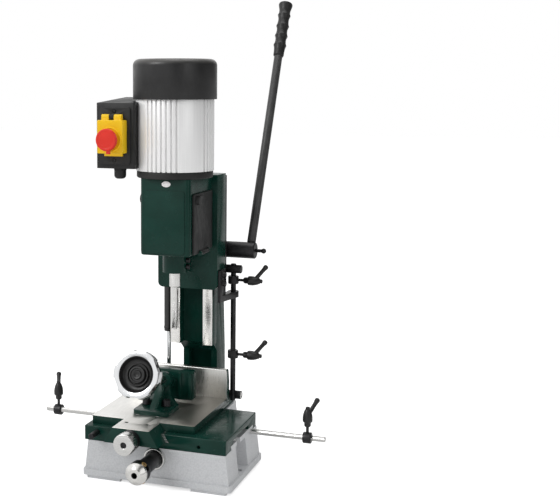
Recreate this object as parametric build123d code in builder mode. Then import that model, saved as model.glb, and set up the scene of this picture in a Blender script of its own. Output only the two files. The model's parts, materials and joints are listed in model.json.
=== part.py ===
from build123d import *
import math
import os

# Benchtop mortiser, in millimetres. +Z is up and the operator stands at -Y.
# X = 0, Y = 0 is the axis of the motor, spindle and chisel. Z = 0 is the bench.

os.makedirs("parts", exist_ok=True)

# ---------------------------------------------------------------- clearances
slide_gap = 0.3            # between flat sliding ways
running_fit = 0.05         # radial, a shaft in its bore
free_gap = 0.5             # beside a part that only has to pass

# ---------------------------------------------------------------- base casting
pad_height = 5.0
flange_thickness = 10.7
base_half_width = 130.6
base_front = -96.0
base_rear = 88.0
deck_height = 65.0
deck_thickness = 8.0
deck_half_width = 121.0
deck_front = -92.0
deck_rear = 84.0
base_wall = 9.0
side_wall = 26.0           # thick enough to hold the bolt bays
rib_centre = -1.0
rib_thickness = 10.0
bay_centre = -11.0
bay_half_width = 26.0
bay_depth = 24.0
bench_bolt_span = 238.0
bench_bolt_radius = 5.5
pedestal_half_width = 60.0
pedestal_top_half_width = 53.0
pedestal_rear = 190.0
pedestal_height = 75.0

# ---------------------------------------------------------------- slideways
dovetail_angle = 60.0
way_height = 7.0
way_half_width = 59.5      # along Y, where the way meets the deck

# ---------------------------------------------------------------- saddle
saddle_left = -128.0
saddle_right = 121.0
saddle_front = -92.0
saddle_rear = 82.0
apron_gap = 0.4            # saddle's aprons over the deck
saddle_top = 89.5
saddle_relief_height = 79.5
relief_front = -50.0
relief_rear = 36.0
relief_left_end = -96.0
relief_right_end = 40.0
gib_thickness = 5.0
slot_floor = 76.0
lock_x = -104.0
lock_z = 80.0
lock_radius = 5.0
lock_length = 26.0

# ---------------------------------------------------------------- table and fence
table_left = -121.0
table_right = 62.0
table_front = -75.5
table_rear = 113.0
table_top = 103.0
table_gap = 0.3            # table's underside over the saddle
tongue_centre = -30.0
tongue_top_half_width = 32.0
tongue_front = -126.0
tongue_rear = 92.0
tongue_gap = 0.3           # tongue's underside over the slot's floor
fence_face = 97.0
fence_height = 52.0
fence_foot = 8.0           # depth that the fence is let into the table's rear edge
fixture_hole_radius = 3.4
fixture_hole_depth = 18.0
fixture_centre = -32.0
fixture_half_span = 18.5
fixture_rows = (-93.0, -49.0, -5.0)

# ---------------------------------------------------------------- cross feed
cross_z = 85.0
cross_screw_radius = 5.0
cross_screw_rear = 34.0
cross_front_wall = 14.0
channel_half_width = 9.5
channel_height = 16.0
cross_nut_y = -60.0
cross_nut_length = 20.0
cross_disc_radius = 18.0
cross_disc_thickness = 17.0
cross_disc_front = -156.0
cross_bearing_radius = 17.0

# ---------------------------------------------------------------- longitudinal feed
feed_z = 48.0
feed_module = 1.5
feed_teeth = 16
feed_pinion_front = -30.0
feed_pinion_width = 16.0
feed_rack_gap = 1.0        # rack beside the slot in the way
feed_rack_end = 6.0        # rack's ends inside the saddle's
feed_shaft_radius = 13.0
feed_tail_radius = 8.0
feed_shaft_front = -158.0
feed_boss_radius = 16.5
feed_hub_radius = 18.0
feed_hub_face_radius = 10.5
feed_hub_length = 25.0
spoke_hole_radius = 4.0

# ---------------------------------------------------------------- end stops
stop_rod_y = 48.0
stop_rod_z = 65.0
stop_rod_radius = 4.5
stop_rod_left = -268.0
stop_rod_right = 252.0
left_collar_x = -245.0
right_collar_x = 221.0
collar_radius = 9.5
collar_length = 14.0

# ---------------------------------------------------------------- vise
vise_centre = -28.0
vise_left = -59.5
vise_right = 4.0
vise_front = -45.5
vise_rear = 13.7
vise_plate = 7.0
vise_bolt_radius = 5.0
vise_washer_radius = 7.4
vise_web_half = 6.5
flare_foot_half = 29.0
flare_waist_half = 15.5
flare_top_half = 13.0
flare_front = 4.0
flare_height = 15.0
screw_tilt = 18.0          # degrees down, from the wheel to the jaw
boss_y = 20.0
boss_z = 148.0
boss_radius = 15.0
boss_length = 20.0
clamp_screw_radius = 7.0
jaw_left = -75.0
jaw_right = 18.0
jaw_bottom = 109.0
jaw_top = 161.0
jaw_face = 57.0
jaw_front = 45.0
wheel_distance = 125.0     # wheel's middle to the boss's middle, along the screw
wheel_radius = 39.5
wheel_width = 17.0
dish_radius = 30.0
dish_depth = 13.0
finger_count = 6
finger_depth = 2.2
finger_radius = 26.0

# ---------------------------------------------------------------- column
foot_half_width = 50.0
foot_front = 118.0
foot_rear = 182.0
foot_thickness = 12.0
foot_screw_x = 41.0
foot_screw_head = 6.0
column_half_width = 32.0
neck_front = 132.0
neck_top = 180.0
neck_rear = 181.0
column_rear = 157.0
column_height = 500.0
slab_half_width = 39.0
slab_front = 83.0
slab_thickness = 25.0
slab_bottom = 200.0
strip_width = 18.0         # machined faces on the slab
recess_depth = 21.0
channel_depth = 18.0       # hollow in the front of the neck
neck_wall = 11.0

# ---------------------------------------------------------------- lever and its gear
gear_y = 139.0
gear_z = 365.0
gear_module = 3.0
gear_teeth = 26
gear_width = 24.0
housing_radius = 46.5
lever_shaft_radius = 10.0
lever_boss_radius = 20.0
lever_boss_face = 37.0
hub_radius = 14.5
hub_end = 101.0
bar_x = 91.0
bar_radius = 7.75
bar_lean = 27.0            # degrees back from upright
bar_length = 500.0
grip_length = 112.0
grip_radius = 12.2
grip_lobes = 4
index_pin_radius = 3.0
index_ball_radius = 4.6
index_pin_length = 24.0
index_travel = 6.0

# ---------------------------------------------------------------- head
head_half_width = 43.5
head_front = -50.0
head_bottom = 377.0
head_top = 504.0
head_wall = 8.0
slide_half_width = 54.6
slide_front = 62.0
slide_bottom = 304.0
nose_radius = 20.5
nose_bottom = 343.0
chamber_half_width = 35.0
chamber_front = -42.0
chamber_rear = 42.0
keeper_thickness = 6.5
keeper_screw_radius = 2.5
rack_bottom = 345.0
rack_top = 478.0
rack_half_width = 11.0
door_front = -37.0
door_rear = 58.0
door_bottom = 378.5
door_top = 479.0
door_thickness = 3.5
door_overlap = 7.0         # door past the edge of its opening
hinge_radius = 4.0
hinge_pin_radius = 2.0
hinge_front = -6.0
hinge_rear = 29.0
hinge_lug = 4.0

# ---------------------------------------------------------------- depth stop
depth_rod_x = 63.0
depth_rod_y = 130.0
depth_rod_radius = 4.75
upper_stud_z = 331.5
lower_stud_z = 101.0
stud_radius = 7.5
stud_end = 78.0
upper_collar_z = 312.0
lower_collar_z = 177.0
stop_arm_bottom = 281.0
stop_arm_thickness = 11.0
stop_plate_front = 66.0
stop_plate_rear = 96.0
stop_plate_top = 337.0
stop_plate_thickness = 5.0

# ---------------------------------------------------------------- gas strut
strut_x = -60.0
strut_y = 130.0
strut_radius = 8.5
strut_wall = 2.0
strut_bottom = 210.0
strut_top = 455.0
strut_rod_radius = 4.0
anchor_bottom = 100.0
anchor_height = 9.0
anchor_half_width = 10.0

# ---------------------------------------------------------------- chisel and spindle
chisel_shank_radius = 9.5
chisel_shank_bottom = 318.0
chisel_shank_top = 372.0
chisel_side = 9.5
chisel_bore = 3.6
chisel_tip = 246.0
window_length = 55.0
auger_radius = 3.3
chuck_radius = 20.0
chuck_bottom = 392.0
chuck_top = 440.0
shaft_radius = 8.0

# ---------------------------------------------------------------- motor
flange_radius = 64.0
flange_height = 12.0
motor_radius = 65.5
motor_bore = 52.0
motor_height = 122.0
groove_pitch = 7.5         # degrees
grooves_each_side = 7      # in each of four groups, with smooth panels between them
fin_depth = 4.5
groove_width = 3.0
cowl_radius = 70.0
cowl_height = 62.0
cowl_wall = 2.5
cowl_skirt = 4.0           # cowl's lower edge over the motor body
stator_length = 70.0
rotor_radius = 30.0
air_gap = 0.6
bearing_radius = 17.5
bearing_width = 11.0
fan_radius = 60.0
fan_blades = 8

# ---------------------------------------------------------------- switch
switch_left = -117.0
switch_right = -48.0
switch_front = -60.0
switch_rear = 68.0
switch_bottom = 520.0
switch_height = 108.0
switch_rise = 8.0
switch_wall = 3.0
lid_border = 7.0
lid_rise = 4.0
flap_x = -82.5
flap_width = 45.0
flap_bottom = switch_bottom + 26.0
flap_top = switch_bottom + 80.5
flap_depth = 19.0
flap_wall = 2.5
flap_hinge_z = switch_bottom + 86.0
flap_hinge_y = -73.0
stop_z = switch_bottom + 49.0
stop_radius = 18.3
stop_front = -100.0
stop_stem_radius = 6.0
start_z = switch_bottom + 67.0
start_radius = 6.5
gland_y = -40.0
gland_radius = 10.0

# ---------------------------------------------------------------- clamp levers
lever_stud_radius = 2.5
lever_stud_length = 9.5
lever_barrel = ((0, 4.2), (2, 5.6), (8, 5.6), (8.5, 8.2), (19, 8.2), (30, 4.6), (30.2, 3.7), (34, 3.7))
lever_arm_root = 19.0
lever_arm_length = 33.0
lever_arm_lean = 50.0      # degrees away from the stud's axis
lever_arm_radius = 3.4
lever_arm_tip_radius = 4.0

# ---------------------------------------------------------------- worked out
flange_top = pad_height + flange_thickness
way_top = deck_height + way_height
tan_dovetail = math.tan(math.radians(dovetail_angle))
saddle_bottom = deck_height + apron_gap
slot_roof = way_top + apron_gap
table_bottom = saddle_top + table_gap
tongue_bottom = slot_floor + tongue_gap
tongue_bottom_half_width = tongue_top_half_width + (table_top - tongue_bottom) / tan_dovetail
feed_pitch_radius = feed_module * feed_teeth / 2
gear_pitch_radius = gear_module * gear_teeth / 2
slab_rear = slab_front + slab_thickness
motor_bottom = head_top + flange_height
motor_top = motor_bottom + motor_height
cowl_top = motor_top + cowl_height
tilt = math.radians(screw_tilt)
bar_tilt = math.radians(bar_lean)


# ---------------------------------------------------------------- helpers
def save(piece, name):
    piece.part.label = name
    export_step(piece.part, "parts/" + name + ".step")


def across(y):
    """Plane facing the operator at depth y: sketch x is X, sketch y is Z."""
    return Plane.XZ.offset(-y)


def beside(x):
    """Plane facing +X at x: sketch x is Y, sketch y is Z."""
    return Plane.YZ.offset(x)


def level(z):
    return Plane.XY.offset(z)


def rectangle(left, right, low, high):
    """A rectangle in the current sketch, from its edges."""
    with Locations(((left + right) / 2, (low + high) / 2)):
        Rectangle(right - left, high - low)


def disc(x, y, radius):
    with Locations((x, y)):
        Circle(radius)


def outline(*points):
    """A face with straight sides between the points."""
    Polygon(*points, align=None)


def rack_tooth(module):
    """Half widths of a rack tooth at its root and tip, and its height above and below the pitch line."""
    addendum = 0.85 * module
    dedendum = 1.15 * module
    slope = math.tan(math.radians(20))
    middle = 0.21 * math.pi * module
    return middle + dedendum * slope, middle - addendum * slope, addendum, dedendum


def gear_face(module, teeth, gap_at):
    """A spur gear about the sketch's origin, with the middle of a gap at the angle gap_at."""
    pitch_radius = module * teeth / 2
    tip_radius = pitch_radius + 0.85 * module
    root_radius = pitch_radius - 1.15 * module
    pitch_angle = 360 / teeth
    tip_half = 0.11 * pitch_angle
    middle_half = 0.21 * pitch_angle
    root_half = 0.30 * pitch_angle
    points = []
    for tooth in range(teeth):
        centre = gap_at + (tooth + 0.5) * pitch_angle
        flanks = (
            (root_radius, -root_half),
            (pitch_radius, -middle_half),
            (tip_radius, -tip_half),
            (tip_radius, tip_half),
            (pitch_radius, middle_half),
            (root_radius, root_half),
        )
        for radius, turn in flanks:
            angle = math.radians(centre + turn)
            points.append((radius * math.cos(angle), radius * math.sin(angle)))
    outline(*points)


# ================================================================ base
def dovetail_points(half_width, low, high, centre, grow):
    """Corners of a dovetail that widens upwards from half_width at deck_height."""
    low_half = half_width + (low - deck_height) / tan_dovetail + grow
    high_half = half_width + (high - deck_height) / tan_dovetail + grow
    return (
        (centre - low_half, low),
        (centre + low_half, low),
        (centre + high_half, high),
        (centre - high_half, high),
    )


feed_slot_front = feed_pinion_front - feed_rack_gap
feed_slot_rear = feed_pinion_front + feed_pinion_width + feed_rack_gap
core_top = deck_height - deck_thickness
core_half_width = deck_half_width - side_wall
rib_front = rib_centre - rib_thickness / 2
rib_rear = rib_centre + rib_thickness / 2
bench_bolt_x = bench_bolt_span / 2
rib_pad_half = 20.0
pad_width = 8.0
pad_outer = base_half_width - 8.6
pad_inner = pad_outer - 60

with BuildPart() as base:
    with BuildSketch(level(pad_height)):
        rectangle(-base_half_width, base_half_width, base_front, base_rear)
        rectangle(-pedestal_half_width - 6, pedestal_half_width + 6, base_rear - 2, pedestal_rear)
    extrude(amount=flange_thickness)
    fillet(base.edges().filter_by(Axis.Z), radius=6)
    with BuildSketch(level(flange_top)):
        rectangle(-base_half_width + 4, base_half_width - 4, base_front + 3, base_rear - 3)
    with BuildSketch(level(deck_height)):
        rectangle(-deck_half_width, deck_half_width, deck_front, deck_rear)
    loft()
    with BuildSketch(level(flange_top)):
        rectangle(-pedestal_half_width, pedestal_half_width, 0, pedestal_rear - 4)
    with BuildSketch(level(deck_height)):
        rectangle(-pedestal_top_half_width, pedestal_top_half_width, 0, foot_rear + 3)
    loft()
    with BuildSketch(level(deck_height)):
        rectangle(-pedestal_top_half_width, pedestal_top_half_width, base_rear + 2, foot_rear + 3)
    extrude(amount=pedestal_height - deck_height)
    with BuildSketch(beside(-deck_half_width)):
        outline(*dovetail_points(way_half_width, deck_height - 1, way_top, 0, 0))
    extrude(amount=2 * deck_half_width)
    # boss for the feed shaft
    with BuildSketch(across(deck_front + 8)):
        disc(0, feed_z, feed_boss_radius)
    extrude(amount=12)
    # cored underside, in two chambers with a rib between them, and one under the pedestal
    with BuildSketch(level(0)):
        rectangle(-core_half_width, core_half_width, deck_front + base_wall, rib_front)
        rectangle(-core_half_width, core_half_width, rib_rear, deck_rear - base_wall)
    extrude(amount=core_top, mode=Mode.SUBTRACT)
    with BuildSketch(level(0)):
        rectangle(-pedestal_top_half_width + base_wall, pedestal_top_half_width - base_wall,
                  deck_rear + base_wall, foot_rear - base_wall)
    extrude(amount=core_top, mode=Mode.SUBTRACT)
    # the rack's slot along the way
    with BuildSketch(level(core_top)):
        rectangle(-base_half_width, base_half_width, feed_slot_front, feed_slot_rear)
    extrude(amount=way_top - core_top, mode=Mode.SUBTRACT)
    # arched bays over the bench bolts
    for side in (-1, 1):
        bay_inner = side * (base_half_width - bay_depth)
        with BuildSketch(beside(bay_inner)):
            disc(bay_centre, core_top - bay_half_width, bay_half_width)
            rectangle(bay_centre - bay_half_width, bay_centre + bay_half_width, flange_top,
                      core_top - bay_half_width)
            with Locations((bay_centre, flange_top / 2)):
                Rectangle(2 * bay_half_width, flange_top, mode=Mode.SUBTRACT)
        extrude(amount=side * (bay_depth + 1), mode=Mode.SUBTRACT)
        with BuildSketch(level(0)):
            disc(side * bench_bolt_x, bay_centre, bench_bolt_radius)
        extrude(amount=flange_top + 1, mode=Mode.SUBTRACT)
    # pads that the base stands on
    with BuildSketch(level(0)):
        for side in (-1, 1):
            near, far = sorted((side * pad_inner, side * pad_outer))
            rectangle(near, far, base_front + 2, base_front + 2 + pad_width)
            rectangle(near, far, base_rear - 2 - pad_width, base_rear - 2)
        rectangle(-pedestal_top_half_width + 3, pedestal_top_half_width - 3, pedestal_rear - 4 - pad_width,
                  pedestal_rear - 4)
        rectangle(-rib_pad_half, rib_pad_half, rib_front, rib_rear)
    extrude(amount=pad_height)
    # bores
    with BuildSketch(across(deck_front + 12)):
        disc(0, feed_z, feed_shaft_radius + running_fit)
    extrude(amount=20, mode=Mode.SUBTRACT)
    with BuildSketch(across(rib_rear)):
        disc(0, feed_z, feed_tail_radius + running_fit)
    extrude(amount=rib_thickness, mode=Mode.SUBTRACT)
    with BuildSketch(beside(-base_half_width)):
        disc(stop_rod_y, stop_rod_z, stop_rod_radius + running_fit)
    extrude(amount=2 * base_half_width, mode=Mode.SUBTRACT)
    with Locations(*[(x, y, pedestal_height) for x in (-foot_screw_x, foot_screw_x)
                    for y in (foot_front + 12, foot_rear - 12)]):
        Hole(4.0, depth=20)
save(base, "base")

# ================================================================ stop rod and its collars
with BuildPart() as stop_rod:
    with BuildSketch(beside(stop_rod_left)):
        disc(stop_rod_y, stop_rod_z, stop_rod_radius)
    extrude(amount=stop_rod_right - stop_rod_left)
    chamfer(stop_rod.edges().filter_by(GeomType.CIRCLE), length=0.8)
save(stop_rod, "stop_rod")


def make_collar(centre, along, towards, rod_radius):
    """A clamp collar on a rod that runs along one direction, tapped from the side for its lever."""
    with BuildPart() as collar:
        with BuildSketch(Plane(origin=centre, z_dir=along)):
            Circle(collar_radius)
            Circle(rod_radius + 2 * running_fit, mode=Mode.SUBTRACT)
        extrude(amount=collar_length / 2, both=True)
        chamfer(collar.edges().filter_by(GeomType.CIRCLE).group_by(SortBy.RADIUS)[-1], length=0.8)
        with BuildSketch(Plane(origin=centre, z_dir=towards)):
            Circle(lever_stud_radius + running_fit)
        extrude(amount=collar_radius + 2, mode=Mode.SUBTRACT)
    return collar


def make_clamp_lever(centre, towards, lean_to, rod_radius):
    """A ratchet clamp lever: stud, barrel with a button at its end, and an arm that leans to one side."""
    stud_axis = Vector(*towards)
    lean = math.radians(lever_arm_lean)
    arm_axis = stud_axis * math.cos(lean) + Vector(*lean_to) * math.sin(lean)

    def along_stud(distance):
        return Plane(origin=Vector(*centre) + stud_axis * distance, z_dir=stud_axis)

    def along_arm(distance):
        start = Vector(*centre) + stud_axis * (collar_radius + lever_stud_length + lever_arm_root)
        return Plane(origin=start + arm_axis * distance, z_dir=arm_axis)

    with BuildPart() as lever:
        with BuildSketch(along_stud(rod_radius + 0.4)):
            Circle(lever_stud_radius)
        extrude(amount=collar_radius + lever_stud_length + 2 - rod_radius - 0.4)
        for (low, low_radius), (high, high_radius) in zip(lever_barrel, lever_barrel[1:]):
            with BuildSketch(along_stud(collar_radius + lever_stud_length + low)):
                Circle(low_radius)
            with BuildSketch(along_stud(collar_radius + lever_stud_length + high)):
                Circle(high_radius)
            loft()
        with BuildSketch(along_arm(0)):
            Circle(lever_arm_radius)
        with BuildSketch(along_arm(lever_arm_length)):
            Circle(lever_arm_tip_radius)
        loft()
        with Locations(along_arm(lever_arm_length)):
            Sphere(lever_arm_tip_radius + 0.4)
    return lever


for name, x, lean_side in (("left_stop", left_collar_x, -1), ("right_stop", right_collar_x, 1)):
    centre = (x, stop_rod_y, stop_rod_z)
    collar = make_collar(centre, (1, 0, 0), (0, 0, 1), stop_rod_radius)
    save(collar, name + "_collar")
    lever = make_clamp_lever(centre, (0, 0, 1), (lean_side * 0.42, 0.9075, 0), stop_rod_radius)
    save(lever, name + "_lever")

# ================================================================ saddle
slot_half_width = tongue_bottom_half_width + slide_gap


def tongue_points(low, high, left_grow, right_grow):
    """Corners of the table's dovetail tongue between two heights, widened by the two growths."""
    low_half = tongue_top_half_width + (table_top - low) / tan_dovetail
    high_half = tongue_top_half_width + (table_top - high) / tan_dovetail
    return (
        (tongue_centre - low_half - left_grow, low),
        (tongue_centre + low_half + right_grow, low),
        (tongue_centre + high_half + right_grow, high),
        (tongue_centre - high_half - left_grow, high),
    )


gib_play = 2 * slide_gap
with BuildPart() as saddle:
    with BuildSketch(level(saddle_bottom)):
        rectangle(saddle_left, saddle_right, saddle_front, saddle_rear)
    extrude(amount=saddle_top - saddle_bottom)
    fillet(saddle.edges().filter_by(Axis.Z), radius=3)
    chamfer(saddle.faces().sort_by(Axis.Z)[-1].edges(), length=1)
    with BuildSketch(beside(saddle_left - 1)):
        outline(*dovetail_points(way_half_width, saddle_bottom - 1, slot_roof, 0, slide_gap))
    extrude(amount=saddle_right - saddle_left + 2, mode=Mode.SUBTRACT)
    with BuildSketch(across(saddle_rear + 1)):
        outline(*tongue_points(slot_floor, saddle_top + 1, slide_gap, gib_thickness + gib_play))
    extrude(amount=saddle_rear - saddle_front + 2, mode=Mode.SUBTRACT)
    # hollows under both ends
    with BuildSketch(level(saddle_bottom)):
        rectangle(saddle_left - 1, relief_left_end, relief_front, relief_rear)
        rectangle(relief_right_end, saddle_right + 1, relief_front, relief_rear)
    extrude(amount=saddle_relief_height - saddle_bottom, mode=Mode.SUBTRACT)
    # tapped holes for the lock screw and the gib's set screws
    with BuildSketch(across(saddle_front + 16)):
        disc(lock_x, lock_z, lock_radius * 0.7 + running_fit)
        disc(75, lock_z - 5.5, 3)
    extrude(amount=17, mode=Mode.SUBTRACT)
save(saddle, "saddle")

with BuildPart() as saddle_lock:
    with BuildSketch(across(saddle_front + 14)):
        disc(lock_x, lock_z, lock_radius * 0.7)
    extrude(amount=14 + slide_gap)
    with BuildSketch(across(saddle_front - slide_gap)):
        disc(lock_x, lock_z, lock_radius)
    extrude(amount=lock_length)
    fillet(saddle_lock.faces().sort_by(Axis.Y)[0].edges(), radius=1.5)
save(saddle_lock, "saddle_lock")

with BuildPart() as screw_nut:
    with BuildSketch(across(cross_nut_y + cross_nut_length / 2)):
        rectangle(tongue_centre - channel_half_width + 1, tongue_centre + channel_half_width - 1,
                  slot_floor, slot_floor + channel_height - 0.5)
    extrude(amount=cross_nut_length)
    with BuildSketch(across(cross_nut_y + cross_nut_length / 2)):
        disc(tongue_centre, cross_z, cross_screw_radius + running_fit)
    extrude(amount=cross_nut_length, mode=Mode.SUBTRACT)
save(screw_nut, "screw_nut")

# ================================================================ longitudinal feed
feed_rack_root = feed_z + feed_pitch_radius + rack_tooth(feed_module)[3]
feed_rack_left = saddle_left + feed_rack_end
feed_rack_right = saddle_right - feed_rack_end
feed_pitch = math.pi * feed_module
feed_pinion_rear = feed_pinion_front + feed_pinion_width
feed_side = math.floor((feed_rack_right - feed_pitch) / feed_pitch)

with BuildPart() as feed_rack:
    with BuildSketch(across(feed_pinion_rear)):
        rectangle(feed_rack_left, feed_rack_right, feed_rack_root, slot_roof)
        root_half, tip_half, addendum, dedendum = rack_tooth(feed_module)
        tip_z = feed_z + feed_pitch_radius - addendum
        for tooth in range(-feed_side, feed_side + 1):
            x = tooth * feed_pitch
            outline((x - root_half, feed_rack_root + 0.1), (x + root_half, feed_rack_root + 0.1),
                    (x + tip_half, tip_z), (x - tip_half, tip_z))
    extrude(amount=feed_pinion_width)
save(feed_rack, "feed_rack")

with BuildPart() as feed_shaft:
    with BuildSketch(across(rib_rear - 1)):
        disc(0, feed_z, feed_tail_radius)
    extrude(amount=rib_rear - 1 - (deck_front + base_wall - 2))
    with BuildSketch(across(deck_front + base_wall - 1)):
        disc(0, feed_z, feed_shaft_radius)
    extrude(amount=deck_front + base_wall - 1 - feed_shaft_front)
    chamfer(feed_shaft.faces().sort_by(Axis.Y)[0].edges(), length=1)
    with BuildSketch(across(feed_pinion_rear)):
        with Locations((0, feed_z)):
            gear_face(feed_module, feed_teeth, 90)
    extrude(amount=feed_pinion_width)
save(feed_shaft, "feed_shaft")

with BuildPart() as feed_hub:
    with BuildSketch(across(feed_shaft_front)):
        disc(0, feed_z, feed_hub_radius)
    extrude(amount=feed_hub_length)
    chamfer(feed_hub.faces().sort_by(Axis.Y)[0].edges(), length=feed_hub_radius - feed_hub_face_radius)
    with Locations(Plane(origin=(0, feed_shaft_front - feed_hub_length, feed_z), z_dir=(0, -1, 0))):
        Hole(5.0, depth=feed_hub_length)
    for turn in (30, 150, 270):
        across_axis = (math.cos(math.radians(turn)), 0, math.sin(math.radians(turn)))
        with BuildSketch(Plane(origin=(0, feed_shaft_front - 9, feed_z), z_dir=across_axis)):
            Circle(spoke_hole_radius)
        extrude(amount=feed_hub_radius + 1, mode=Mode.SUBTRACT)
save(feed_hub, "feed_hub")

# ================================================================ table, its gib and the cross screw
with BuildPart() as table:
    with BuildSketch(level(table_bottom)):
        rectangle(table_left, table_right, table_front, table_rear)
    extrude(amount=table_top - table_bottom)
    fillet(table.edges().filter_by(Axis.Z), radius=2.5)
    with BuildSketch(across(tongue_rear)):
        outline(*tongue_points(tongue_bottom, table_bottom + 1, 0, 0))
    extrude(amount=tongue_rear - tongue_front)
    with BuildSketch(across(table_front + 2)):
        outline(*tongue_points(table_bottom - 1, table_top, 0, 0))
    extrude(amount=table_front + 2 - tongue_front)
    # channel under the tongue for the screw and its nut
    with BuildSketch(across(tongue_rear + 1)):
        rectangle(tongue_centre - channel_half_width, tongue_centre + channel_half_width,
                  tongue_bottom - 1, slot_floor + channel_height)
    extrude(amount=tongue_rear + 1 - tongue_front - cross_front_wall, mode=Mode.SUBTRACT)
    with BuildSketch(across(tongue_front + cross_front_wall + 1)):
        disc(tongue_centre, cross_z, cross_screw_radius + running_fit)
    extrude(amount=cross_front_wall + 2, mode=Mode.SUBTRACT)
    # rebate that the fence stands in
    with BuildSketch(level(table_top)):
        rectangle(table_left - 1, table_right + 1, fence_face, table_rear + 1)
    extrude(amount=-fence_foot, mode=Mode.SUBTRACT)
    # tapped holes for the vise
    holes = [(fixture_centre + side * fixture_half_span, y, table_top)
             for y in fixture_rows for side in (-1, 1)]
    for hole in holes:
        with Locations(hole):
            Hole(fixture_hole_radius, depth=min(fixture_hole_depth, table_top - table_bottom - 2))
save(table, "table")

with BuildPart() as table_gib:
    gap = slide_gap
    low_half = tongue_top_half_width + (table_top - slot_floor) / tan_dovetail + gib_play
    high_half = tongue_top_half_width + (table_top - saddle_top) / tan_dovetail + gib_play
    with BuildSketch(across(saddle_rear - 2)):
        outline((tongue_centre + low_half, slot_floor),
                (tongue_centre + low_half + gib_thickness, slot_floor),
                (tongue_centre + high_half + gib_thickness, saddle_top),
                (tongue_centre + high_half, saddle_top))
    extrude(amount=saddle_rear - 2 - saddle_front)
save(table_gib, "table_gib")

with BuildPart() as fence:
    with BuildSketch(beside(table_left)):
        outline((fence_face, table_top - fence_foot),
                (table_rear, table_top - fence_foot),
                (table_rear, table_top + fence_height * 0.55),
                (table_rear - 5, table_top + fence_height),
                (fence_face, table_top + fence_height))
    extrude(amount=table_right - table_left)
    fillet(fence.edges().filter_by(Axis.Y).group_by(Axis.Z)[-1], radius=3)
save(fence, "fence")

with BuildPart() as cross_bearing:
    with BuildSketch(across(tongue_front)):
        disc(tongue_centre, cross_z, cross_bearing_radius)
        with Locations((tongue_centre, cross_z)):
            Circle(cross_screw_radius + running_fit, mode=Mode.SUBTRACT)
    extrude(amount=tongue_front - cross_disc_front - cross_disc_thickness - slide_gap)
save(cross_bearing, "cross_bearing")

with BuildPart() as cross_screw:
    with BuildSketch(across(cross_screw_rear)):
        disc(tongue_centre, cross_z, cross_screw_radius)
    extrude(amount=cross_screw_rear - cross_disc_front - 2)
    with BuildSketch(across(cross_disc_front + cross_disc_thickness)):
        disc(tongue_centre, cross_z, cross_disc_radius)
    extrude(amount=cross_disc_thickness)
    chamfer(cross_screw.faces().sort_by(Axis.Y)[0].edges(), length=1.2)
    with Locations(Plane(origin=(tongue_centre, cross_disc_front, cross_z), z_dir=(0, -1, 0))):
        Hole(5.0, depth=cross_disc_thickness - 3)
save(cross_screw, "cross_screw")

# ================================================================ vise
screw_axis = Vector(0, math.cos(tilt), -math.sin(tilt))
boss_centre = Vector(vise_centre, boss_y, boss_z)
wheel_centre = boss_centre - screw_axis * wheel_distance
bolt_xs = (fixture_centre - fixture_half_span, fixture_centre + fixture_half_span)
vise_bolt_y = fixture_rows[-1]


def along_screw(distance):
    """Plane square to the clamp screw, at a distance from the boss's middle."""
    return Plane(origin=boss_centre + screw_axis * distance, x_dir=(1, 0, 0), z_dir=screw_axis)


with BuildPart() as vise_base:
    with BuildSketch(level(table_top)):
        rectangle(vise_left, vise_right, vise_front, vise_rear)
    extrude(amount=vise_plate)
    fillet(vise_base.edges().filter_by(Axis.Z), radius=6)
    # web that leans back up to the boss
    with BuildSketch(level(table_top + vise_plate - 0.5)):
        rectangle(vise_centre - vise_web_half, vise_centre + vise_web_half, vise_front + 14, vise_rear - 1)
    with BuildSketch(level(boss_z - 4)):
        rectangle(vise_centre - vise_web_half, vise_centre + vise_web_half, boss_y - 11, boss_y + 9)
    loft()
    # cross wall behind the web, flaring down to the plate
    with BuildSketch(level(table_top + vise_plate - 0.5)):
        rectangle(vise_centre - flare_foot_half, vise_centre + flare_foot_half, flare_front, vise_rear - 0.5)
    with BuildSketch(level(table_top + vise_plate + flare_height)):
        rectangle(vise_centre - flare_waist_half, vise_centre + flare_waist_half,
                  flare_front + 5, vise_rear + 3)
    loft()
    with BuildSketch(level(table_top + vise_plate + flare_height - 0.5)):
        rectangle(vise_centre - flare_waist_half, vise_centre + flare_waist_half,
                  flare_front + 5, vise_rear + 3)
    with BuildSketch(level(boss_z - 4)):
        rectangle(vise_centre - flare_top_half, vise_centre + flare_top_half, boss_y - 7, boss_y + 6)
    loft()
    with BuildSketch(along_screw(-boss_length / 2)):
        Circle(boss_radius)
    extrude(amount=boss_length)
    with BuildSketch(along_screw(-boss_length)):
        Circle(clamp_screw_radius + running_fit)
    extrude(amount=2 * boss_length, mode=Mode.SUBTRACT)
    for x in bolt_xs:
        with Locations((x, vise_bolt_y, table_top + vise_plate)):
            Hole(vise_bolt_radius + free_gap, depth=vise_plate)
save(vise_base, "vise_base")

with BuildPart() as vise_bolts:
    for x in bolt_xs:
        with BuildSketch(level(table_top - 8)):
            disc(x, vise_bolt_y, fixture_hole_radius)
        extrude(amount=8 + vise_plate + 4)
        with BuildSketch(level(table_top + vise_plate)):
            disc(x, vise_bolt_y, vise_washer_radius)
        extrude(amount=2)
        with BuildSketch(level(table_top + vise_plate + 2)):
            disc(x, vise_bolt_y, vise_bolt_radius + 1.5)
        extrude(amount=9)
        with BuildSketch(level(table_top + vise_plate + 11)):
            with Locations((x, vise_bolt_y)):
                RegularPolygon(3.2, 6)
        extrude(amount=-5, mode=Mode.SUBTRACT)
save(vise_bolts, "vise_bolts")

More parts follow.
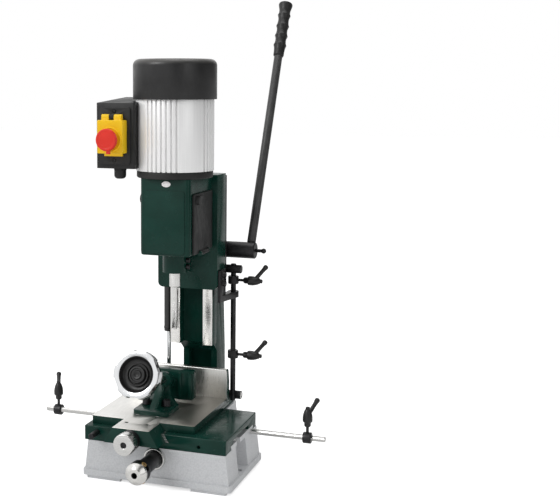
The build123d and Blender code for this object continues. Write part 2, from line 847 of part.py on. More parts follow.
jaw_screw_seat = 20.0
with BuildPart() as jaw:
    with BuildSketch(level(jaw_bottom)):
        rectangle(jaw_left, jaw_right, jaw_front, jaw_face)
    extrude(amount=jaw_top - jaw_bottom)
    fillet(jaw.edges().filter_by(Axis.Y), radius=5)
    # ribs on the operator's side
    for x in (jaw_left + 3, jaw_right - 9, vise_centre + 18, vise_centre - 24):
        with BuildSketch(level(jaw_bottom + 4)):
            rectangle(x, x + 6, jaw_front - 4, jaw_front + 1)
        extrude(amount=jaw_top - jaw_bottom - 8)
    with BuildSketch(along_screw(jaw_screw_seat)):
        Circle(boss_radius - 2)
    extrude(amount=14)
    with BuildSketch(beside(jaw_left)):
        rectangle(jaw_face, jaw_face + 30, jaw_bottom - 10, jaw_top + 10)
    extrude(amount=jaw_right - jaw_left, mode=Mode.SUBTRACT)
    with BuildSketch(along_screw(jaw_screw_seat - 1)):
        Circle(clamp_screw_radius - 2 + running_fit)
    extrude(amount=11, mode=Mode.SUBTRACT)
save(jaw, "jaw")

with BuildPart() as clamp_screw:
    with BuildSketch(along_screw(-wheel_distance - 2)):
        Circle(clamp_screw_radius)
    extrude(amount=wheel_distance + 2 + jaw_screw_seat - slide_gap)
    with BuildSketch(along_screw(jaw_screw_seat - slide_gap)):
        Circle(clamp_screw_radius - 2)
    extrude(amount=9)
save(clamp_screw, "clamp_screw")

with BuildPart() as wheel_dish:
    with BuildSketch(along_screw(-wheel_distance + wheel_width / 2 - 4)):
        Circle(dish_radius)
        Circle(clamp_screw_radius, mode=Mode.SUBTRACT)
    extrude(amount=3.5)
    with BuildSketch(along_screw(-wheel_distance - wheel_width / 2 + 3)):
        Circle(dish_radius)
        Circle(dish_radius - 3, mode=Mode.SUBTRACT)
    extrude(amount=wheel_width - 6)
    for ring_radius, ring_height in ((15.5, 4.5), (11.5, 7.5)):
        with BuildSketch(along_screw(-wheel_distance + wheel_width / 2 - 4)):
            Circle(ring_radius)
            Circle(clamp_screw_radius, mode=Mode.SUBTRACT)
        extrude(amount=-ring_height)
save(wheel_dish, "wheel_dish")

with BuildPart() as handwheel:
    with BuildSketch(along_screw(-wheel_distance)):
        Circle(wheel_radius)
        Circle(dish_radius, mode=Mode.SUBTRACT)
        with PolarLocations(wheel_radius + finger_radius - finger_depth, finger_count, start_angle=30):
            Circle(finger_radius, mode=Mode.SUBTRACT)
    extrude(amount=wheel_width / 2, both=True)
    chamfer(handwheel.faces().sort_by(Axis.Y)[0].edges(), length=1.2)
save(handwheel, "handwheel")

# ================================================================ column
slab_recess_half = slab_half_width - strip_width
recess_rear = slab_front + recess_depth
gear_tip_radius = gear_pitch_radius + 0.85 * gear_module
chamber_radius = gear_tip_radius + free_gap
gear_chamber_half = gear_width / 2 + free_gap

with BuildPart() as column:
    with BuildSketch(level(pedestal_height)):
        rectangle(-foot_half_width, foot_half_width, foot_front, foot_rear)
    extrude(amount=foot_thickness)
    fillet(column.edges().filter_by(Axis.Z), radius=6)
    with BuildSketch(beside(-column_half_width)):
        outline((neck_front, pedestal_height + 2), (neck_rear, pedestal_height + 2),
                (neck_rear - 2, neck_top), (column_rear, column_height - 60), (column_rear, column_height),
                (slab_rear - 1, column_height), (slab_rear - 1, slab_bottom), (neck_front, neck_top))
    extrude(amount=2 * column_half_width)
    with BuildSketch(level(slab_bottom)):
        rectangle(-slab_half_width, slab_half_width, slab_front, slab_rear)
    extrude(amount=column_height - slab_bottom)
    with BuildSketch(beside(-column_half_width)):
        disc(gear_y, gear_z, housing_radius)
    extrude(amount=2 * column_half_width)
    with BuildSketch(beside(column_half_width)):
        disc(gear_y, gear_z, lever_boss_radius)
    extrude(amount=lever_boss_face - column_half_width)
    # lug for the strut's rod
    with BuildSketch(level(anchor_bottom)):
        rectangle(strut_x - anchor_half_width, -column_half_width + 1,
                  strut_y + 4 - anchor_half_width, strut_y + 8 + anchor_half_width)
    extrude(amount=anchor_height)
    # recess between the machined strips, and the hollow in the front of the neck
    with BuildSketch(level(slab_bottom - 60)):
        rectangle(-slab_recess_half, slab_recess_half, slab_front - 1, recess_rear)
    extrude(amount=column_height - slab_bottom + 61, mode=Mode.SUBTRACT)
    with BuildSketch(level(pedestal_height + foot_thickness)):
        rectangle(-column_half_width + neck_wall, column_half_width - neck_wall,
                  slab_front, neck_front + channel_depth)
    extrude(amount=neck_top - pedestal_height - foot_thickness, mode=Mode.SUBTRACT)
    # chamber and bore for the lever's gear, screw holes, rod holes
    with BuildSketch(beside(-gear_chamber_half)):
        disc(gear_y, gear_z, chamber_radius)
    extrude(amount=2 * gear_chamber_half, mode=Mode.SUBTRACT)
    with BuildSketch(beside(-column_half_width - 1)):
        disc(gear_y, gear_z, lever_shaft_radius + running_fit)
    extrude(amount=column_half_width + lever_boss_face + 2, mode=Mode.SUBTRACT)
    with BuildSketch(beside(column_half_width - 12)):
        disc(depth_rod_y, upper_stud_z, stud_radius - 1.5)
        disc(depth_rod_y + 5, lower_stud_z, stud_radius - 1.5)
    extrude(amount=13, mode=Mode.SUBTRACT)
    with Locations((strut_x, strut_y, anchor_bottom + anchor_height)):
        Hole(strut_rod_radius, depth=anchor_height)
    screw_spots = [(x, y, pedestal_height + foot_thickness)
                   for x in (-foot_screw_x, foot_screw_x) for y in (foot_front + 12, foot_rear - 12)]
    with Locations(*screw_spots):
        Hole(4.5, depth=foot_thickness)
save(column, "column")

with BuildPart() as column_screws:
    for x, y, z in screw_spots:
        with BuildSketch(level(z - foot_thickness - 14)):
            disc(x, y, 4.0)
        extrude(amount=foot_thickness + 15)
        with BuildSketch(level(z)):
            disc(x, y, 6.5)
        extrude(amount=foot_screw_head)
        with BuildSketch(level(z + foot_screw_head)):
            with Locations((x, y)):
                RegularPolygon(3.4, 6)
        extrude(amount=-4, mode=Mode.SUBTRACT)
save(column_screws, "column_screws")

# ================================================================ lever
with BuildPart() as pinion_shaft:
    with BuildSketch(beside(-column_half_width - 6)):
        disc(gear_y, gear_z, lever_shaft_radius + 4)
    extrude(amount=6 - slide_gap)
    with BuildSketch(beside(-column_half_width - 1)):
        disc(gear_y, gear_z, lever_shaft_radius)
    extrude(amount=column_half_width + 1 + hub_end - 8)
    with BuildSketch(beside(-gear_width / 2)):
        with Locations((gear_y, gear_z)):
            gear_face(gear_module, gear_teeth, 180)
    extrude(amount=gear_width)
save(pinion_shaft, "pinion_shaft")

lever_axis = Vector(0, math.sin(bar_tilt), math.cos(bar_tilt))
hub_start = lever_boss_face + slide_gap
lever_foot = Vector(bar_x, gear_y, gear_z)


def along_lever(distance):
    return Plane(origin=lever_foot + lever_axis * distance, x_dir=(1, 0, 0), z_dir=lever_axis)


with BuildPart() as lever_hub:
    with BuildSketch(beside(hub_start)):
        disc(gear_y, gear_z, hub_radius)
    extrude(amount=hub_end - hub_start)
    chamfer(lever_hub.edges().filter_by(GeomType.CIRCLE), length=1.2)
    with BuildSketch(beside(hub_start - 1)):
        disc(gear_y, gear_z, lever_shaft_radius)
    extrude(amount=hub_end - 8 - hub_start + 1, mode=Mode.SUBTRACT)
    with BuildSketch(beside(hub_end - 8)):
        disc(gear_y, gear_z, index_pin_radius + running_fit)
    extrude(amount=9, mode=Mode.SUBTRACT)
    with BuildSketch(along_lever(lever_shaft_radius + 1)):
        Circle(bar_radius - 2)
    extrude(amount=hub_radius, mode=Mode.SUBTRACT)
save(lever_hub, "lever_hub")

with BuildPart() as lever_bar:
    with BuildSketch(along_lever(lever_shaft_radius + 1)):
        Circle(bar_radius - 2)
    extrude(amount=hub_radius)
    with BuildSketch(along_lever(hub_radius + 0.5)):
        Circle(bar_radius)
    extrude(amount=bar_length - hub_radius - 4)
save(lever_bar, "lever_bar")

grip_start = bar_length - grip_length
lobe_length = (grip_length - 30) / grip_lobes
with BuildPart() as lever_grip:
    with BuildSketch(along_lever(grip_start)):
        Circle(bar_radius + 1.8)
    extrude(amount=18)
    for lobe in range(grip_lobes):
        low = grip_start + 16 + lobe * lobe_length
        with BuildSketch(along_lever(low)):
            Circle(grip_radius)
        with BuildSketch(along_lever(low + lobe_length * 0.55)):
            Circle(grip_radius - 1.6)
        with BuildSketch(along_lever(low + lobe_length)):
            Circle(grip_radius - 2.4)
        loft()
    with BuildSketch(along_lever(bar_length - 14.1)):
        Circle(grip_radius - 2.4)
    with BuildSketch(along_lever(bar_length - 4)):
        Circle(grip_radius)
    loft()
    with BuildSketch(along_lever(bar_length - 4)):
        Circle(grip_radius)
    extrude(amount=6)
    fillet(lever_grip.edges().filter_by(GeomType.CIRCLE).sort_by(Axis.Z)[-1], radius=4)
    with BuildSketch(along_lever(grip_start - 1)):
        Circle(bar_radius)
    extrude(amount=grip_length - 2, mode=Mode.SUBTRACT)
save(lever_grip, "lever_grip")

with BuildPart() as index_pin:
    with BuildSketch(beside(hub_end - 7)):
        disc(gear_y, gear_z, index_pin_radius)
    extrude(amount=index_pin_length - index_ball_radius)
    ball_centre = (hub_end - 7 + index_pin_length - index_ball_radius / 2, gear_y, gear_z)
    with Locations(Plane(origin=ball_centre, z_dir=(1, 0, 0))):
        Sphere(index_ball_radius)
save(index_pin, "index_pin")

# ================================================================ head
slide_rear = slab_rear + slide_gap
slot_half = slab_half_width + slide_gap
opening_front = door_front + door_overlap
opening_rear = door_rear - 2 * door_overlap
opening_bottom = head_bottom + head_wall + 4
opening_top = door_top - door_overlap
keeper_inner = column_half_width + free_gap
door_hinge_x = head_half_width + slide_gap + hinge_radius
gear_root = rack_tooth(gear_module)[3]
rack_pitch_y = gear_y - gear_pitch_radius
rack_root_y = rack_pitch_y - gear_root
gear_pitch = math.pi * gear_module
lock_screw_spots = ((nose_bottom + 21, 0), (nose_bottom + 10, 0))
keeper_screw_spots = [(side * (slot_half + 8), z) for side in (-1, 1)
                      for z in (slide_bottom + 25, (slide_bottom + head_top) / 2, head_top - 25)]

with BuildPart() as head:
    with BuildSketch(level(head_bottom)):
        rectangle(-head_half_width, head_half_width, head_front, slide_front + 1)
    extrude(amount=head_top - head_bottom)
    fillet(head.edges().filter_by(Axis.Z).group_by(Axis.Y)[0], radius=7)
    fillet(head.faces().sort_by(Axis.Y)[0].edges().sort_by(Axis.Z)[0], radius=3)
    with BuildSketch(across(slide_rear)):
        rectangle(-slide_half_width, slide_half_width, slide_bottom, head_top)
    extrude(amount=slide_rear - slide_front)
    fillet(head.edges().filter_by(Axis.Y).group_by(Axis.Z)[0], radius=9)
    with BuildSketch(level(nose_bottom)):
        Circle(nose_radius)
    extrude(amount=head_bottom - nose_bottom + 1)
    # web from the nose back to the slide
    with BuildSketch(beside(-7)):
        outline((0, nose_bottom + 6), (slide_front + 1, slide_bottom + 30),
                (slide_front + 1, head_bottom + 1), (0, head_bottom + 1))
    extrude(amount=14)
    # raised panel on the front
    with BuildSketch(across(head_front + 1)):
        with Locations((0, (head_bottom + door_top + 10) / 2)):
            RectangleRounded(2 * head_half_width - 16, door_top + 10 - head_bottom - 8, 5)
    extrude(amount=2.5)
    # slot that fits round the slab
    with BuildSketch(level(slide_bottom - 1)):
        rectangle(-slot_half, slot_half, slab_front - slide_gap, slide_rear + 1)
    extrude(amount=head_top - slide_bottom + 2, mode=Mode.SUBTRACT)
    # chuck chamber, open at both sides
    with BuildSketch(level(head_bottom + head_wall)):
        rectangle(-chamber_half_width, chamber_half_width, chamber_front, chamber_rear)
    extrude(amount=head_top - head_bottom - 2 * head_wall, mode=Mode.SUBTRACT)
    with BuildSketch(beside(-head_half_width - 1)):
        rectangle(opening_front, opening_rear, opening_bottom, opening_top)
    extrude(amount=2 * head_half_width + 2, mode=Mode.SUBTRACT)
    with BuildSketch(level(head_top - head_wall - 1)):
        Circle(bearing_radius + 6)
    extrude(amount=head_wall + 2, mode=Mode.SUBTRACT)
    with BuildSketch(level(nose_bottom - 1)):
        Circle(chisel_shank_radius + running_fit)
    extrude(amount=head_bottom + head_wall - nose_bottom + 2, mode=Mode.SUBTRACT)
    # tapped holes for the chisel's lock screws
    for z, y in lock_screw_spots:
        with BuildSketch(beside(chisel_shank_radius - 1)):
            disc(y, z, 3)
        extrude(amount=nose_radius, mode=Mode.SUBTRACT)
    with BuildSketch(across(slide_rear + 1)):
        for x, z in keeper_screw_spots:
            disc(x, z, keeper_screw_radius)
    extrude(amount=14, mode=Mode.SUBTRACT)
    # lugs and pins that the doors turn on
    for side in (-1, 1):
        for lug_rear in (hinge_front - free_gap, hinge_rear + free_gap + hinge_lug):
            with BuildSketch(across(lug_rear)):
                disc(side * door_hinge_x, door_bottom, hinge_radius)
                rectangle(min(side * (head_half_width - 1), side * door_hinge_x),
                          max(side * (head_half_width - 1), side * door_hinge_x),
                          door_bottom - hinge_radius / 2, door_bottom + hinge_radius)
            extrude(amount=hinge_lug)
        with BuildSketch(across(hinge_rear + free_gap + 1)):
            disc(side * door_hinge_x, door_bottom, hinge_pin_radius)
        extrude(amount=hinge_rear - hinge_front + 2 * free_gap + 2)
save(head, "head")

with BuildPart() as head_screws:
    for z, y in lock_screw_spots:
        with BuildSketch(beside(chisel_shank_radius + running_fit)):
            disc(y, z, 3)
        extrude(amount=nose_radius - chisel_shank_radius + 2)
        with BuildSketch(beside(nose_radius)):
            disc(y, z, 4.5)
        extrude(amount=6)
    for x, z in keeper_screw_spots:
        with BuildSketch(across(slide_rear + keeper_thickness)):
            disc(x, z, keeper_screw_radius + 2)
        extrude(amount=-4)
        with BuildSketch(across(slide_rear + keeper_thickness + 0.5)):
            disc(x, z, keeper_screw_radius)
        extrude(amount=keeper_thickness + 12)
save(head_screws, "head_screws")

with BuildPart() as slide_keepers:
    for side in (-1, 1):
        with BuildSketch(level(slide_bottom + 4)):
            rectangle(min(side * keeper_inner, side * slide_half_width),
                      max(side * keeper_inner, side * slide_half_width),
                      slide_rear, slide_rear + keeper_thickness)
        extrude(amount=head_top - slide_bottom - 8)
    with BuildSketch(across(slide_rear + keeper_thickness + 1)):
        for x, z in keeper_screw_spots:
            disc(x, z, keeper_screw_radius)
    extrude(amount=keeper_thickness + 2, mode=Mode.SUBTRACT)
save(slide_keepers, "slide_keepers")

with BuildPart() as head_rack:
    with BuildSketch(beside(-rack_half_width)):
        rectangle(slab_front - slide_gap, rack_root_y, rack_bottom, rack_top)
        root_half, tip_half, addendum, dedendum = rack_tooth(gear_module)
        low_teeth = math.ceil((rack_bottom + root_half - gear_z) / gear_pitch)
        high_teeth = math.floor((rack_top - root_half - gear_z) / gear_pitch)
        for tooth in range(low_teeth, high_teeth + 1):
            z = gear_z + tooth * gear_pitch
            outline((rack_root_y - 0.1, z - root_half), (rack_root_y - 0.1, z + root_half),
                    (rack_pitch_y + addendum, z + tip_half), (rack_pitch_y + addendum, z - tip_half))
    extrude(amount=2 * rack_half_width)
save(head_rack, "head_rack")

# ================================================================ doors
def make_door(side):
    """A cover over the chuck chamber's side opening, hinged along its lower edge."""
    inner = side * (head_half_width + slide_gap)
    outer = inner + side * door_thickness
    with BuildPart() as door:
        with BuildSketch(beside(inner)):
            with Locations(((door_front + door_rear) / 2, (door_bottom + door_top) / 2)):
                RectangleRounded(door_rear - door_front, door_top - door_bottom, 4)
        extrude(amount=side * door_thickness)
        chamfer(door.faces().sort_by(Axis.X)[-1 if side > 0 else 0].edges(), length=0.8)
        # latch
        with BuildSketch(beside(outer)):
            disc(latch_y, latch_z, latch_radius)
        extrude(amount=side * 5)
        with BuildSketch(beside(outer)):
            rectangle(latch_y, latch_y + 20, latch_z + 1, latch_z + 7)
        extrude(amount=side * 3)
        # barrel of the hinge, with room for the head's lugs at both ends
        with BuildSketch(across(hinge_rear)):
            disc(side * door_hinge_x, door_bottom, hinge_radius)
        extrude(amount=hinge_rear - hinge_front)
        for gap_rear in (hinge_front, hinge_rear + 2 * free_gap + hinge_lug):
            with BuildSketch(across(gap_rear)):
                rectangle(min(inner - side, outer + 2 * side), max(inner - side, outer + 2 * side),
                          door_bottom - 1, door_bottom + hinge_radius + 1)
            extrude(amount=hinge_lug + 2 * free_gap, mode=Mode.SUBTRACT)
        with BuildSketch(across(hinge_rear + 1)):
            disc(side * door_hinge_x, door_bottom, hinge_pin_radius + running_fit)
        extrude(amount=hinge_rear - hinge_front + 2, mode=Mode.SUBTRACT)
    return door


latch_y = door_front + 17
latch_z = door_top - 11
latch_radius = 8.0
save(make_door(1), "right_door")
save(make_door(-1), "left_door")

# ================================================================ chisel, auger and chuck
with BuildPart() as chisel:
    with BuildSketch(level(chisel_shank_bottom)):
        Circle(chisel_shank_radius)
    extrude(amount=chisel_shank_top - chisel_shank_bottom)
    with BuildSketch(level(chisel_tip)):
        Rectangle(chisel_side, chisel_side)
    extrude(amount=chisel_shank_bottom - chisel_tip)
    chamfer(chisel.edges().filter_by(GeomType.CIRCLE), length=1)
    with BuildSketch(level(chisel_tip - 1)):
        Circle(chisel_bore)
    extrude(amount=chisel_shank_top - chisel_tip + 2, mode=Mode.SUBTRACT)
    # four points at the cutting end
    with Locations((0, 0, chisel_tip)):
        Cone(chisel_side * 0.62, chisel_bore - 0.3, 5, mode=Mode.SUBTRACT,
             align=(Align.CENTER, Align.CENTER, Align.MIN))
    # window for the chips
    with BuildSketch(beside(0)):
        rectangle(-1.6, 1.6, chisel_tip + 12, chisel_tip + 12 + window_length)
    extrude(amount=chisel_side, mode=Mode.SUBTRACT)
save(chisel, "chisel")

chuck_socket_top = chuck_bottom + 22
with BuildPart() as auger:
    with BuildSketch(level(chisel_tip - 1.5)):
        Circle(auger_radius - 1.2)
    extrude(amount=chuck_socket_top - chisel_tip + 1.5)
    with BuildSketch(level(chisel_tip + 90)):
        Circle(auger_radius)
    extrude(amount=chuck_socket_top - chisel_tip - 90)
    with BuildSketch(level(chisel_tip - 1.5)):
        Rectangle(2 * auger_radius - 0.4, 1.8)
    extrude(amount=4)
save(auger, "auger")

with BuildPart() as chuck:
    with BuildSketch(level(chuck_bottom + 10)):
        Circle(chuck_radius)
    extrude(amount=chuck_top - chuck_bottom - 10)
    with BuildSketch(level(chuck_bottom)):
        Circle(chuck_radius * 0.45)
    with BuildSketch(level(chuck_bottom + 10)):
        Circle(chuck_radius * 0.8)
    loft()
    with BuildSketch(level(chuck_bottom - 1)):
        Circle(auger_radius)
    extrude(amount=chuck_socket_top - chuck_bottom + 1, mode=Mode.SUBTRACT)
    with BuildSketch(level(chuck_top - 16)):
        Circle(shaft_radius)
    extrude(amount=17, mode=Mode.SUBTRACT)
    with BuildSketch(level(chuck_bottom + 16)):
        with PolarLocations(chuck_radius + 1.6, 24):
            Circle(2.4)
    extrude(amount=chuck_top - chuck_bottom - 22, mode=Mode.SUBTRACT)
save(chuck, "chuck")

# ================================================================ motor
shaft_top = motor_top + cowl_height - 14
rotor_bottom = motor_bottom + 24
lower_bearing = head_top + 1
upper_bearing = motor_top - 16

with BuildPart() as motor_flange:
    with BuildSketch(level(head_top)):
        Circle(flange_radius)
        Circle(bearing_radius, mode=Mode.SUBTRACT)
    extrude(amount=flange_height)
    chamfer(motor_flange.edges().filter_by(GeomType.CIRCLE).group_by(SortBy.RADIUS)[-1], length=1.5)
save(motor_flange, "motor_flange")

with BuildPart() as motor_body:
    with BuildSketch(level(motor_bottom)):
        Circle(motor_radius)
        Circle(motor_bore, mode=Mode.SUBTRACT)
        for group in range(4):
            first_groove = 90 * group - groove_pitch * (grooves_each_side - 1) / 2
            with PolarLocations(motor_radius - fin_depth / 2 + 0.5, grooves_each_side,
                                start_angle=first_groove,
                                angular_range=groove_pitch * (grooves_each_side - 1), endpoint=True):
                Rectangle(fin_depth + 1, groove_width, mode=Mode.SUBTRACT)
    extrude(amount=motor_height)
    # end shield that holds the upper bearing
    with BuildSketch(level(motor_top - 16)):
        Circle(motor_bore + 1)
        Circle(bearing_radius, mode=Mode.SUBTRACT)
    extrude(amount=12)
save(motor_body, "motor_body")

with BuildPart() as stator:
    with BuildSketch(level(rotor_bottom)):
        Circle(motor_bore)
        Circle(rotor_radius + air_gap, mode=Mode.SUBTRACT)
    extrude(amount=stator_length)
    for z in (rotor_bottom - 13, rotor_bottom + stator_length):
        with BuildSketch(level(z)):
            Circle(motor_bore - 5)
            Circle(rotor_radius + 3, mode=Mode.SUBTRACT)
        extrude(amount=12 if z > rotor_bottom else 13)
save(stator, "stator")

with BuildPart() as rotor:
    with BuildSketch(level(chuck_top - 16)):
        Circle(shaft_radius)
    extrude(amount=shaft_top - chuck_top + 16)
    with BuildSketch(level(rotor_bottom)):
        Circle(rotor_radius)
    extrude(amount=stator_length)
save(rotor, "rotor")

with BuildPart() as motor_bearings:
    for z in (lower_bearing, upper_bearing):
        with BuildSketch(level(z)):
            Circle(bearing_radius)
            Circle(shaft_radius + running_fit, mode=Mode.SUBTRACT)
        extrude(amount=bearing_width)
save(motor_bearings, "motor_bearings")

fan_bottom = motor_top + 10
with BuildPart() as fan:
    with BuildSketch(level(fan_bottom)):
        Circle(fan_radius)
        Circle(shaft_radius, mode=Mode.SUBTRACT)
    extrude(amount=2.5)
    with BuildSketch(level(fan_bottom)):
        Circle(shaft_radius + 8)
        Circle(shaft_radius, mode=Mode.SUBTRACT)
        with PolarLocations((fan_radius + shaft_radius + 7) / 2, fan_blades):
            Rectangle(fan_radius - shaft_radius - 7, 2.5)
    extrude(amount=24)
save(fan, "fan")

with BuildPart() as fan_cowl:
    with BuildSketch(level(motor_top - cowl_skirt)):
        Circle(cowl_radius)
    extrude(amount=cowl_height + cowl_skirt)
    fillet(fan_cowl.edges().sort_by(Axis.Z)[-1], radius=11)
    with BuildSketch(level(motor_top - cowl_skirt - 1)):
        Circle(cowl_radius - cowl_wall)
    extrude(amount=cowl_height + cowl_skirt + 1 - 11, mode=Mode.SUBTRACT)
    with BuildSketch(level(motor_top + cowl_height - 12)):
        Circle(cowl_radius - 11)
    extrude(amount=12 - cowl_wall, mode=Mode.SUBTRACT)
    # air slots in the top
    with BuildSketch(level(cowl_top - cowl_wall - 1)):
        for ring_radius, slots in ((20, 6), (34, 10), (48, 14)):
            with PolarLocations(ring_radius, slots):
                SlotOverall(9, 4, rotation=90)
    extrude(amount=cowl_wall + 2, mode=Mode.SUBTRACT)
    # ring that seats the cowl on the motor body
    with BuildSketch(level(motor_top)):
        Circle(cowl_radius - cowl_wall)
        Circle(motor_bore + 3, mode=Mode.SUBTRACT)
    extrude(amount=2.5)
save(fan_cowl, "fan_cowl")

# ================================================================ switch
switch_top = switch_bottom + switch_height
lid_left = switch_left + lid_border
lid_right = switch_right - lid_border
lid_face = switch_front - lid_rise
lid_rear = switch_front + 9.0
flap_left = flap_x - flap_width / 2
flap_right = flap_x + flap_width / 2
flap_back = lid_face - slide_gap
flap_face = flap_back - flap_depth
lug_half = 6.5
lug_spread = 11.0
stem_end = 4.5             # stem's end in front of the lid at rest

with BuildPart() as switch_box:
    # the top rises towards the back
    with BuildSketch(beside(switch_left)):
        outline((switch_front, switch_bottom), (switch_rear, switch_bottom),
                (switch_rear, switch_top + switch_rise), (switch_front, switch_top))
    extrude(amount=switch_right - switch_left)
    fillet(switch_box.edges().filter_by(Axis.Z).group_by(Axis.Y)[0], radius=4)
    with BuildSketch(level(switch_bottom - 1)):
        Circle(motor_radius)
    extrude(amount=switch_height + switch_rise + 2, mode=Mode.SUBTRACT)
    with BuildSketch(level(switch_bottom - 1)):
        rectangle(-motor_radius + 4, 0, motor_radius - 30, switch_rear + 1)
    extrude(amount=switch_height + switch_rise + 2, mode=Mode.SUBTRACT)
    # room for the switch gear behind the lid
    with BuildSketch(level(switch_bottom + switch_wall)):
        rectangle(switch_left + switch_wall, -motor_radius - 5, lid_rear, switch_rear - switch_wall)
    extrude(amount=switch_height - 2 * switch_wall, mode=Mode.SUBTRACT)
    # raised lid with two screws, the hinge posts for the flap, the gland's hole
    with BuildSketch(across(switch_front + 1)):
        with Locations(((lid_left + lid_right) / 2, (switch_bottom + switch_top) / 2)):
            RectangleRounded(lid_right - lid_left, switch_height - 2 * lid_border, 4)
    extrude(amount=lid_rise + 1)
    for z in (switch_top - lid_border - 7, switch_bottom + lid_border + 7):
        with BuildSketch(across(lid_face)):
            disc(flap_x, z, 3.2)
        extrude(amount=-2, mode=Mode.SUBTRACT)
    with BuildSketch(beside(flap_x - lug_spread + lug_half + slide_gap)):
        rectangle(flap_hinge_y - 3.5, lid_face + 1, flap_hinge_z - 3.5, flap_hinge_z + 3.5)
    extrude(amount=2 * (lug_spread - lug_half - slide_gap))
    with BuildSketch(beside(flap_x - lug_spread - lug_half + 2)):
        disc(flap_hinge_y, flap_hinge_z, hinge_pin_radius)
    extrude(amount=2 * (lug_spread + lug_half - 2))
    with BuildSketch(across(lid_face - 1)):
        disc(flap_x, start_z, start_radius + 0.3)
        disc(flap_x, stop_z, stop_stem_radius + 0.3)
    extrude(amount=-14, mode=Mode.SUBTRACT)
save(switch_box, "switch_box")

with BuildPart() as cable_gland:
    with BuildSketch(level(switch_bottom - 4)):
        with Locations((flap_x, gland_y)):
            RegularPolygon(gland_radius + 1.5, 6)
    extrude(amount=4)
    with BuildSketch(level(switch_bottom - 18)):
        disc(flap_x, gland_y, gland_radius)
    extrude(amount=14)
    fillet(cable_gland.edges().filter_by(GeomType.CIRCLE).sort_by(Axis.Z)[0], radius=6)
    with BuildSketch(level(switch_bottom - 19)):
        disc(flap_x, gland_y, 3.5)
    extrude(amount=20, mode=Mode.SUBTRACT)
save(cable_gland, "cable_gland")

with BuildPart() as switch_flap:
    with BuildSketch(across(flap_back)):
        rectangle(flap_left, flap_right, flap_bottom, flap_top)
    extrude(amount=flap_depth)
    fillet(switch_flap.edges().filter_by(Axis.Y), radius=2)
    fillet(switch_flap.faces().sort_by(Axis.Y)[0].edges(), radius=1.2)
    with BuildSketch(across(flap_back + 1)):
        rectangle(flap_left + flap_wall, flap_right - flap_wall,
                  flap_bottom + flap_wall, flap_top - flap_wall)
    extrude(amount=flap_depth + 1 - flap_wall, mode=Mode.SUBTRACT)
    for side in (-1, 1):
        lug_left = flap_x + side * lug_spread - lug_half
        with BuildSketch(beside(lug_left)):
            rectangle(flap_hinge_y - 4, flap_hinge_y + 4, flap_top - 1, flap_hinge_z)
            disc(flap_hinge_y, flap_hinge_z, 4)
        extrude(amount=2 * lug_half)
        with BuildSketch(beside(lug_left - 1)):
            disc(flap_hinge_y, flap_hinge_z, hinge_pin_radius + running_fit)
        extrude(amount=2 * lug_half + 2, mode=Mode.SUBTRACT)
    with BuildSketch(across(flap_back)):
        rectangle(flap_x - 16, flap_x + 16, flap_bottom - 5, flap_bottom + 1)
    extrude(amount=5)
    with BuildSketch(across(flap_face + flap_wall + 1)):
        disc(flap_x, stop_z, stop_stem_radius + 0.3)
    extrude(amount=flap_wall + 2, mode=Mode.SUBTRACT)
save(switch_flap, "switch_flap")

with BuildPart() as stop_button:
    with BuildSketch(across(stop_front + 8)):
        disc(flap_x, stop_z, stop_radius)
    extrude(amount=8)
    fillet(stop_button.faces().sort_by(Axis.Y)[0].edges(), radius=3.5)
    with BuildSketch(across(flap_back - stem_end)):
        disc(flap_x, stop_z, stop_stem_radius)
    extrude(amount=flap_back - stem_end - stop_front - 7)
    with BuildSketch(across(flap_face + flap_wall + 2.5)):
        disc(flap_x, stop_z, stop_stem_radius + 2)
    extrude(amount=2)
save(stop_button, "stop_button")

with BuildPart() as start_button:
    with BuildSketch(across(lid_face + 8)):
        disc(flap_x, start_z, start_radius)
    extrude(amount=13)
    fillet(start_button.faces().sort_by(Axis.Y)[0].edges(), radius=1)
save(start_button, "start_button")

# ================================================================ depth stop
with BuildPart() as depth_rod:
    with BuildSketch(level(lower_stud_z - stud_radius - 2)):
        disc(depth_rod_x, depth_rod_y, depth_rod_radius)
    extrude(amount=upper_stud_z - lower_stud_z + 2 * stud_radius + 4)
    chamfer(depth_rod.edges().filter_by(GeomType.CIRCLE), length=0.8)
save(depth_rod, "depth_rod")

with BuildPart() as rod_studs:
    for z, y in ((upper_stud_z, depth_rod_y), (lower_stud_z, depth_rod_y + 5)):
        with BuildSketch(beside(column_half_width - 11)):
            disc(y, z, stud_radius - 1.5)
        extrude(amount=12)
        with BuildSketch(beside(column_half_width)):
            disc(y, z, stud_radius)
        extrude(amount=stud_end - column_half_width)
    chamfer(rod_studs.edges().filter_by(GeomType.CIRCLE).group_by(Axis.X)[-1], length=0.8)
    with BuildSketch(level(lower_stud_z - stud_radius - 4)):
        disc(depth_rod_x, depth_rod_y, depth_rod_radius)
    extrude(amount=upper_stud_z - lower_stud_z + 2 * stud_radius + 8, mode=Mode.SUBTRACT)
save(rod_studs, "rod_studs")

for name, z in (("upper", upper_collar_z), ("lower", lower_collar_z)):
    centre = (depth_rod_x, depth_rod_y, z)
    save(make_collar(centre, (0, 0, 1), (1, 0, 0), depth_rod_radius), name + "_collar")
    save(make_clamp_lever(centre, (1, 0, 0), (0, 0, 1), depth_rod_radius), name + "_clamp_lever")

